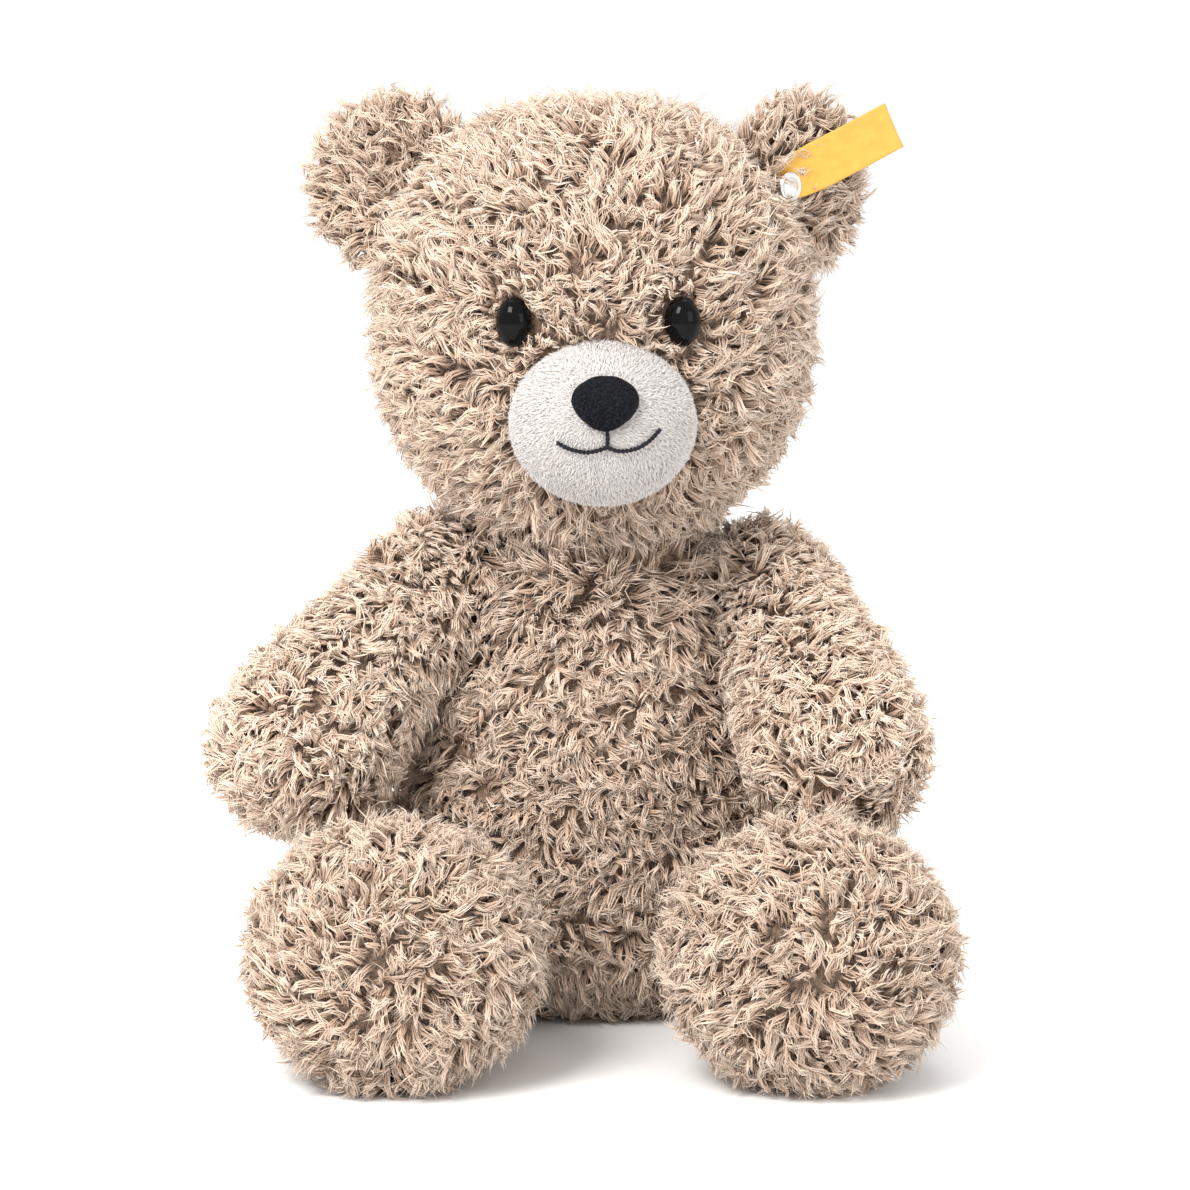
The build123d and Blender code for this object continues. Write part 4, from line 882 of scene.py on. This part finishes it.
g = np.random.default_rng(140)
nm = 25500
k = np.arange(nm) + 0.5
cz = 1 - k/nm*(1 + math.cos(math.radians(53)))
phi = np.arccos(np.clip(cz, -1, 1))
th = np.pi*(1 + 5**0.5)*k + g.normal(0, 0.02, nm)
X = np.stack([np.sin(phi)*np.cos(th), -np.cos(phi), np.sin(phi)*np.sin(th)], -1)
sel = phi < math.radians(126)
X = X[sel]
Pm = X*np.array([MUZZLE_R, MUZZLE_R, MUZZLE_H])
Nm = unit(Pm/np.array([MUZZLE_R, MUZZLE_R, MUZZLE_H])**2)
Pm = Pm + MUZZLE_C
kk = F_HEAD.depth(Pm) < 5.0
NOSE_P, _ = on_muzzle(np.array([1.3]), np.array([193.8]))
v = Pm - np.array([1.3, 0, 193.8])
kk &= ~((np.abs(v[:, 0])/8.8)**2.4 + (np.abs(v[:, 2])/6.6)**2.4 < 1) | (Pm[:, 1] > -70)
Pm, Nm = Pm[kk], Nm[kk]
flow = unit(Pm - np.array([1.3, -84, 193.0])) + np.array([0, 0, -0.25])
cl = clump_set(Pm, Nm, flow, g, 2.1, (20, 50), (70, 100), 0.12, 0.30, 91, 1.35)
C, fam, ss = strands(cl, 1, g, np.full(len(Pm), 0.1), 2)
fur_pieces("muzzle_pile", "head", C, fam, ss, 0.36, WHITE, g)

# nose: rounded triangle of stitched cloth ------------------------------------------
def nose_outline(a):
    """Radius of the nose outline at angle a (0 = its left, counted upwards)."""
    pts = np.array([(-9.7, 0.7), (-8.9, 3.5), (-5.6, 6.1), (0, 7.4), (5.6, 6.1), (8.9, 3.5), (9.7, 0.7), (8.4, -2.5),
                    (5.3, -5.4), (2.4, -7.2), (0, -7.7), (-2.4, -7.2), (-5.3, -5.4), (-8.3, -2.4)])
    ang = np.arctan2(pts[:, 1], pts[:, 0])
    rad = np.hypot(pts[:, 0], pts[:, 1])
    o = np.argsort(ang)
    ang, rad = ang[o], rad[o]
    ang = np.concatenate([ang - 2*np.pi, ang, ang + 2*np.pi])
    rad = np.concatenate([rad]*3)
    a = (a + np.pi) % (2*np.pi) - np.pi
    fine = np.linspace(-2*np.pi, 2*np.pi, 2881)
    r0 = np.interp(fine, ang, rad)
    k = np.exp(-(np.arange(-60, 61)/22.0)**2)
    r0 = np.convolve(r0, k/k.sum(), mode="same")
    return np.interp(a, fine, r0)


nv = 120
a = np.linspace(0, 2*np.pi, nv, endpoint=False)
ro = nose_outline(a)
rings = []
for f, lift in ((0.93, -2.6), (0.97, -0.6), (1.0, 0.7), (0.995, 1.6), (0.96, 2.45), (0.89, 3.1), (0.79, 3.6), (0.65, 4.0), (0.48, 4.25), (0.3, 4.4), (0.12, 4.45)):
    P, N = on_muzzle(1.1 + 0.965*ro*f*np.cos(a), 193.2 + 0.94*ro*f*np.sin(a))
    rings.append(P + N*lift*0.92)
nose = grid_solid("nose_cloth", np.array(rings), NOSE)
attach(nose, "head")
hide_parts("nose")

# mouth: two-ply embroidery thread ----------------------------------------------------
def thread_path(keys, n):
    keys = np.array(keys, float)
    t = np.linspace(0, 1, len(keys))
    v, _ = cubic(t, keys, np.linspace(0, 1, n))
    P, N = on_muzzle(v[:, 0], v[:, 1], 0.15)
    return P, N


def rope(name, P, N, r, turns, mat):
    D = unit(np.gradient(P, axis=0))
    B = unit(np.cross(D, N))
    L = np.concatenate([[0], np.cumsum(np.linalg.norm(np.diff(P, axis=0), axis=1))])
    Vs, Fs, Ts, off = [], [], [], 0
    for ply in range(2):
        ph = 2*np.pi*L/turns + ply*np.pi
        c = P + 0.42*r*(np.cos(ph)[:, None]*B + np.sin(ph)[:, None]*N)
        m = 8
        rr = np.full(len(P), 0.66*r)
        rr[0] = rr[-1] = 0.25*r
        ang = np.linspace(0, 2*np.pi, m, endpoint=False)
        R = c[:, None] + rr[:, None, None]*(np.cos(ang)[None, :, None]*B[:, None] + np.sin(ang)[None, :, None]*N[:, None])
        n = len(P)
        V = np.concatenate([R.reshape(-1, 3), c[:1], c[-1:]])
        i, j = np.meshgrid(np.arange(n - 1), np.arange(m), indexing="ij")
        A = i*m + j
        Bq = i*m + (j + 1) % m
        Fs.append(np.stack([A, A + m, Bq + m, Bq], -1).reshape(-1, 4) + off)
        kx = np.arange(m)
        Ts.append(np.concatenate([np.stack([np.full(m, n*m), kx, (kx + 1) % m], -1),
                                  np.stack([np.full(m, n*m + 1), (n - 1)*m + (kx + 1) % m, (n - 1)*m + kx], -1)]) + off)
        Vs.append(V)
        off += len(V)
    return mesh_from(name, np.concatenate(Vs)*MM, np.concatenate(Fs), np.concatenate(Ts), mat)


mouth = []
for nm_, keys, n in (("mouth_upright", [(1.5, 187.4), (1.8, 184.0), (1.7, 181.3)], 24),
                     ("mouth_left", [(1.9, 181.5), (-1.5, 180.3), (-4.6, 179.9), (-9.0, 180.7), (-12.7, 182.4)], 70),
                     ("mouth_right", [(1.5, 181.5), (4.9, 180.3), (8.6, 180.5), (13.0, 182.4), (16.8, 186.0)], 74)):
    P, N = thread_path(keys, n)
    mouth.append(rope(nm_, P, N, 0.64, 2.4, THREAD))
for o in mouth:
    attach(o, "head")
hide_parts("mouth_thread")

# eyes: oval domes --------------------------------------------------------------------
for side in EYES:
    c, ex, en = eye_geo(side)
    nv = 72
    a = np.linspace(0, 2*np.pi, nv, endpoint=False)
    rings = []
    for f, z in ((0.55, -2.2), (0.94, -2.0), (0.985, -1.4), (1.0, -0.4), (0.995, 0.5), (0.97, 1.4), (0.92, 2.3), (0.84, 3.1),
                 (0.73, 3.8), (0.59, 4.4), (0.43, 4.8), (0.25, 5.05), (0.08, 5.15)):
        rings.append(c + (EYE_W/2*f*np.cos(a))[:, None]*ex + (1.06*EYE_H/2*f*np.sin(a) + 0.7)[:, None]*UP + z*en)
    o = grid_solid("%s_eye_dome" % side, np.array(rings), EYE)
    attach(o, "head")
    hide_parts("%s_eye" % side)

# button and tag -------------------------------------------------------------------------
SEAT = EAR_T*math.sqrt(1 - ((10.3 + 4.5)/EAR_RADIUS)**2) + 1.5
bx = rot_z(42.0)@np.array([1.0, 0, 0])
prof = [(1.4, -5.0), (1.4, 0.0), (4.2, 0.0), (4.55, 0.25), (4.6, 0.8), (4.45, 1.35), (4.1, 1.65), (3.7, 1.7), (3.4, 1.55), (3.15, 1.4),
        (2.6, 1.62), (1.8, 1.85), (0.9, 1.97), (0.2, 2.0)]
a = np.linspace(0, 2*np.pi, 64, endpoint=False)
rings = np.array([BPOS + BN*(SEAT + z) + r*(np.cos(a)[:, None]*bx + np.sin(a)[:, None]*UP) for r, z in prof])
btn = grid_solid("ear_button_cap", rings, METAL)
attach(btn, "head")
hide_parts("ear_button")

tt, tr = math.radians(18.0), math.radians(25.0)
tx = np.array([math.cos(tt)*math.cos(tr), math.sin(tt)*math.cos(tr), math.sin(tr)])
tn = np.array([math.sin(tt), -math.cos(tt), 0])
ty = np.cross(tn, tx)
if ty[2] < 0:
    ty = -ty
T0 = BPOS + BN*(SEAT - 0.75) + ty*1.5
nl, nw = 60, 22
xs = np.linspace(-2.5, 38.5, nl)
ws = np.interp(xs, [-2.5, 1.0, 6.0, 11.0, 39], [5.6, 6.2, 6.9, 7.25, 7.25])
vv = np.linspace(-1, 1, nw)
mid = np.empty((nl, nw, 3))
for i, x in enumerate(xs):
    open_ = np.interp(x, [0, 12], [1, 0])
    bend = 0.9*math.sin((x - 2)/36*math.pi*1.15) - 0.0*x
    pleat = 0.55*open_*np.cos(vv*math.pi*2.0)
    cup = 0.5*(vv**2 - 0.4)*np.interp(x, [8, 38], [0.3, 1.0])
    mid[i] = T0 + tx*x + ty*(vv*ws[i])[:, None] + tn*(bend + pleat + cup + 0.15)[:, None]
th_ = 0.22
nrm = np.cross(np.gradient(mid, axis=0), np.gradient(mid, axis=1))
nrm = unit(nrm)
front, back = mid + nrm*th_, mid - nrm*th_
V = np.concatenate([front.reshape(-1, 3), back.reshape(-1, 3)])
K = nl*nw
i, j = np.meshgrid(np.arange(nl - 1), np.arange(nw - 1), indexing="ij")
A = (i*nw + j).ravel()
Fq = [np.stack([A, A + 1, A + nw + 1, A + nw], -1), np.stack([A, A + nw, A + nw + 1, A + 1], -1) + K]
for e, flip in ((np.arange(nl)*nw, 0), (np.arange(nl)*nw + nw - 1, 1), (np.arange(nw), 1), (np.arange(nw) + (nl - 1)*nw, 0)):
    q = np.stack([e[:-1], e[1:], e[1:] + K, e[:-1] + K], -1)
    Fq.append(q[:, ::-1] if flip else q)
Fq = np.concatenate(Fq)
if np.sum(np.cross(V[Fq[0, 1]] - V[Fq[0, 0]], V[Fq[0, 2]] - V[Fq[0, 0]])*(V[Fq[0, 0]] - mid[0, 0])) < 0:
    Fq = Fq[:, ::-1]
uu, ww = np.meshgrid(np.linspace(0.02, 0.98, nl), np.linspace(0.02, 0.46, nw), indexing="ij")
uv = np.concatenate([np.stack([uu, ww], -1).reshape(-1, 2), np.stack([uu, ww + 0.5], -1).reshape(-1, 2)])
tag = mesh_from("ear_tag_ribbon", V*MM, Fq, np.zeros((0, 3), int), RIBBON, uv)
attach(tag, "head")
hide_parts("ear_tag")

# carried-over CAD pieces ----------------------------------------------------------------
for name, o in frame["nodes"].items():
    m = FILLING if "stuffing" in name else METAL if "button" in name else PLASTIC if ("disc" in name or "washer" in name) else None
    if m is not None:
        if o.data.materials:
            for q in range(len(o.data.materials)):
                o.data.materials[q] = m
        else:
            o.data.materials.append(m)

# stage, light, camera ---------------------------------------------------------------------
floor = bpy.data.meshes.new("floor")
S = 16.0
floor.from_pydata([(-S, -S, 0), (S, -S, 0), (S, S, 0), (-S, S, 0)], [], [(0, 1, 2, 3)])
floor_o = link(bpy.data.objects.new("floor", floor))
fm, nt, b = new_mat("floor_paper")
b.inputs["Base Color"].default_value = (0.955, 0.955, 0.955, 1)
b.inputs["Roughness"].default_value = 0.9
b.inputs["Specular IOR Level"].default_value = 0.1
floor.materials.append(fm)

w = bpy.data.worlds.new("studio")
bpy.context.scene.world = w
w.use_nodes = True
bg = w.node_tree.nodes["Background"]
bg.inputs[0].default_value = (1.0, 1.0, 1.0, 1)
bg.inputs[1].default_value = 1.05


def area(name, loc, target, size, power, color=(1, 1, 1)):
    L = bpy.data.lights.new(name, "AREA")
    L.shape = "RECTANGLE"
    L.size, L.size_y = size
    L.energy = power
    L.color = color
    o = link(bpy.data.objects.new(name, L))
    o.location = loc
    o.rotation_euler = (Vector(target) - Vector(loc)).to_track_quat("-Z", "Y").to_euler()
    return o


area("key", (-0.6, -1.05, 1.1), (0, 0, 0.13), (0.6, 0.65), 25, (1.0, 0.985, 0.96))
area("fill", (1.1, -1.0, 0.5), (0, 0, 0.13), (0.7, 0.7), 4.0)
area("top", (0.0, 0.35, 1.3), (0, 0, 0.15), (0.9, 0.7), 7.0)

cam = bpy.data.cameras.new("camera")
cam.lens, cam.sensor_width = 149.7, 36.0
cam.clip_end = 60
co = link(bpy.data.objects.new("camera", cam))
co.location = (-0.0018, -1.4815, 0.3601)
co.rotation_euler = (Vector((-0.0018, 0, 0.1254)) - co.location).to_track_quat("-Z", "Y").to_euler()
bpy.context.scene.camera = co
for vs in [bpy.context.scene.view_settings]:
    vs.view_transform = "Standard"

tris = sum(len(o.data.loops) - 2*len(o.data.polygons) for o in bpy.context.scene.objects if o.type == "MESH" and not o.hide_render)
print("TRIS", tris)
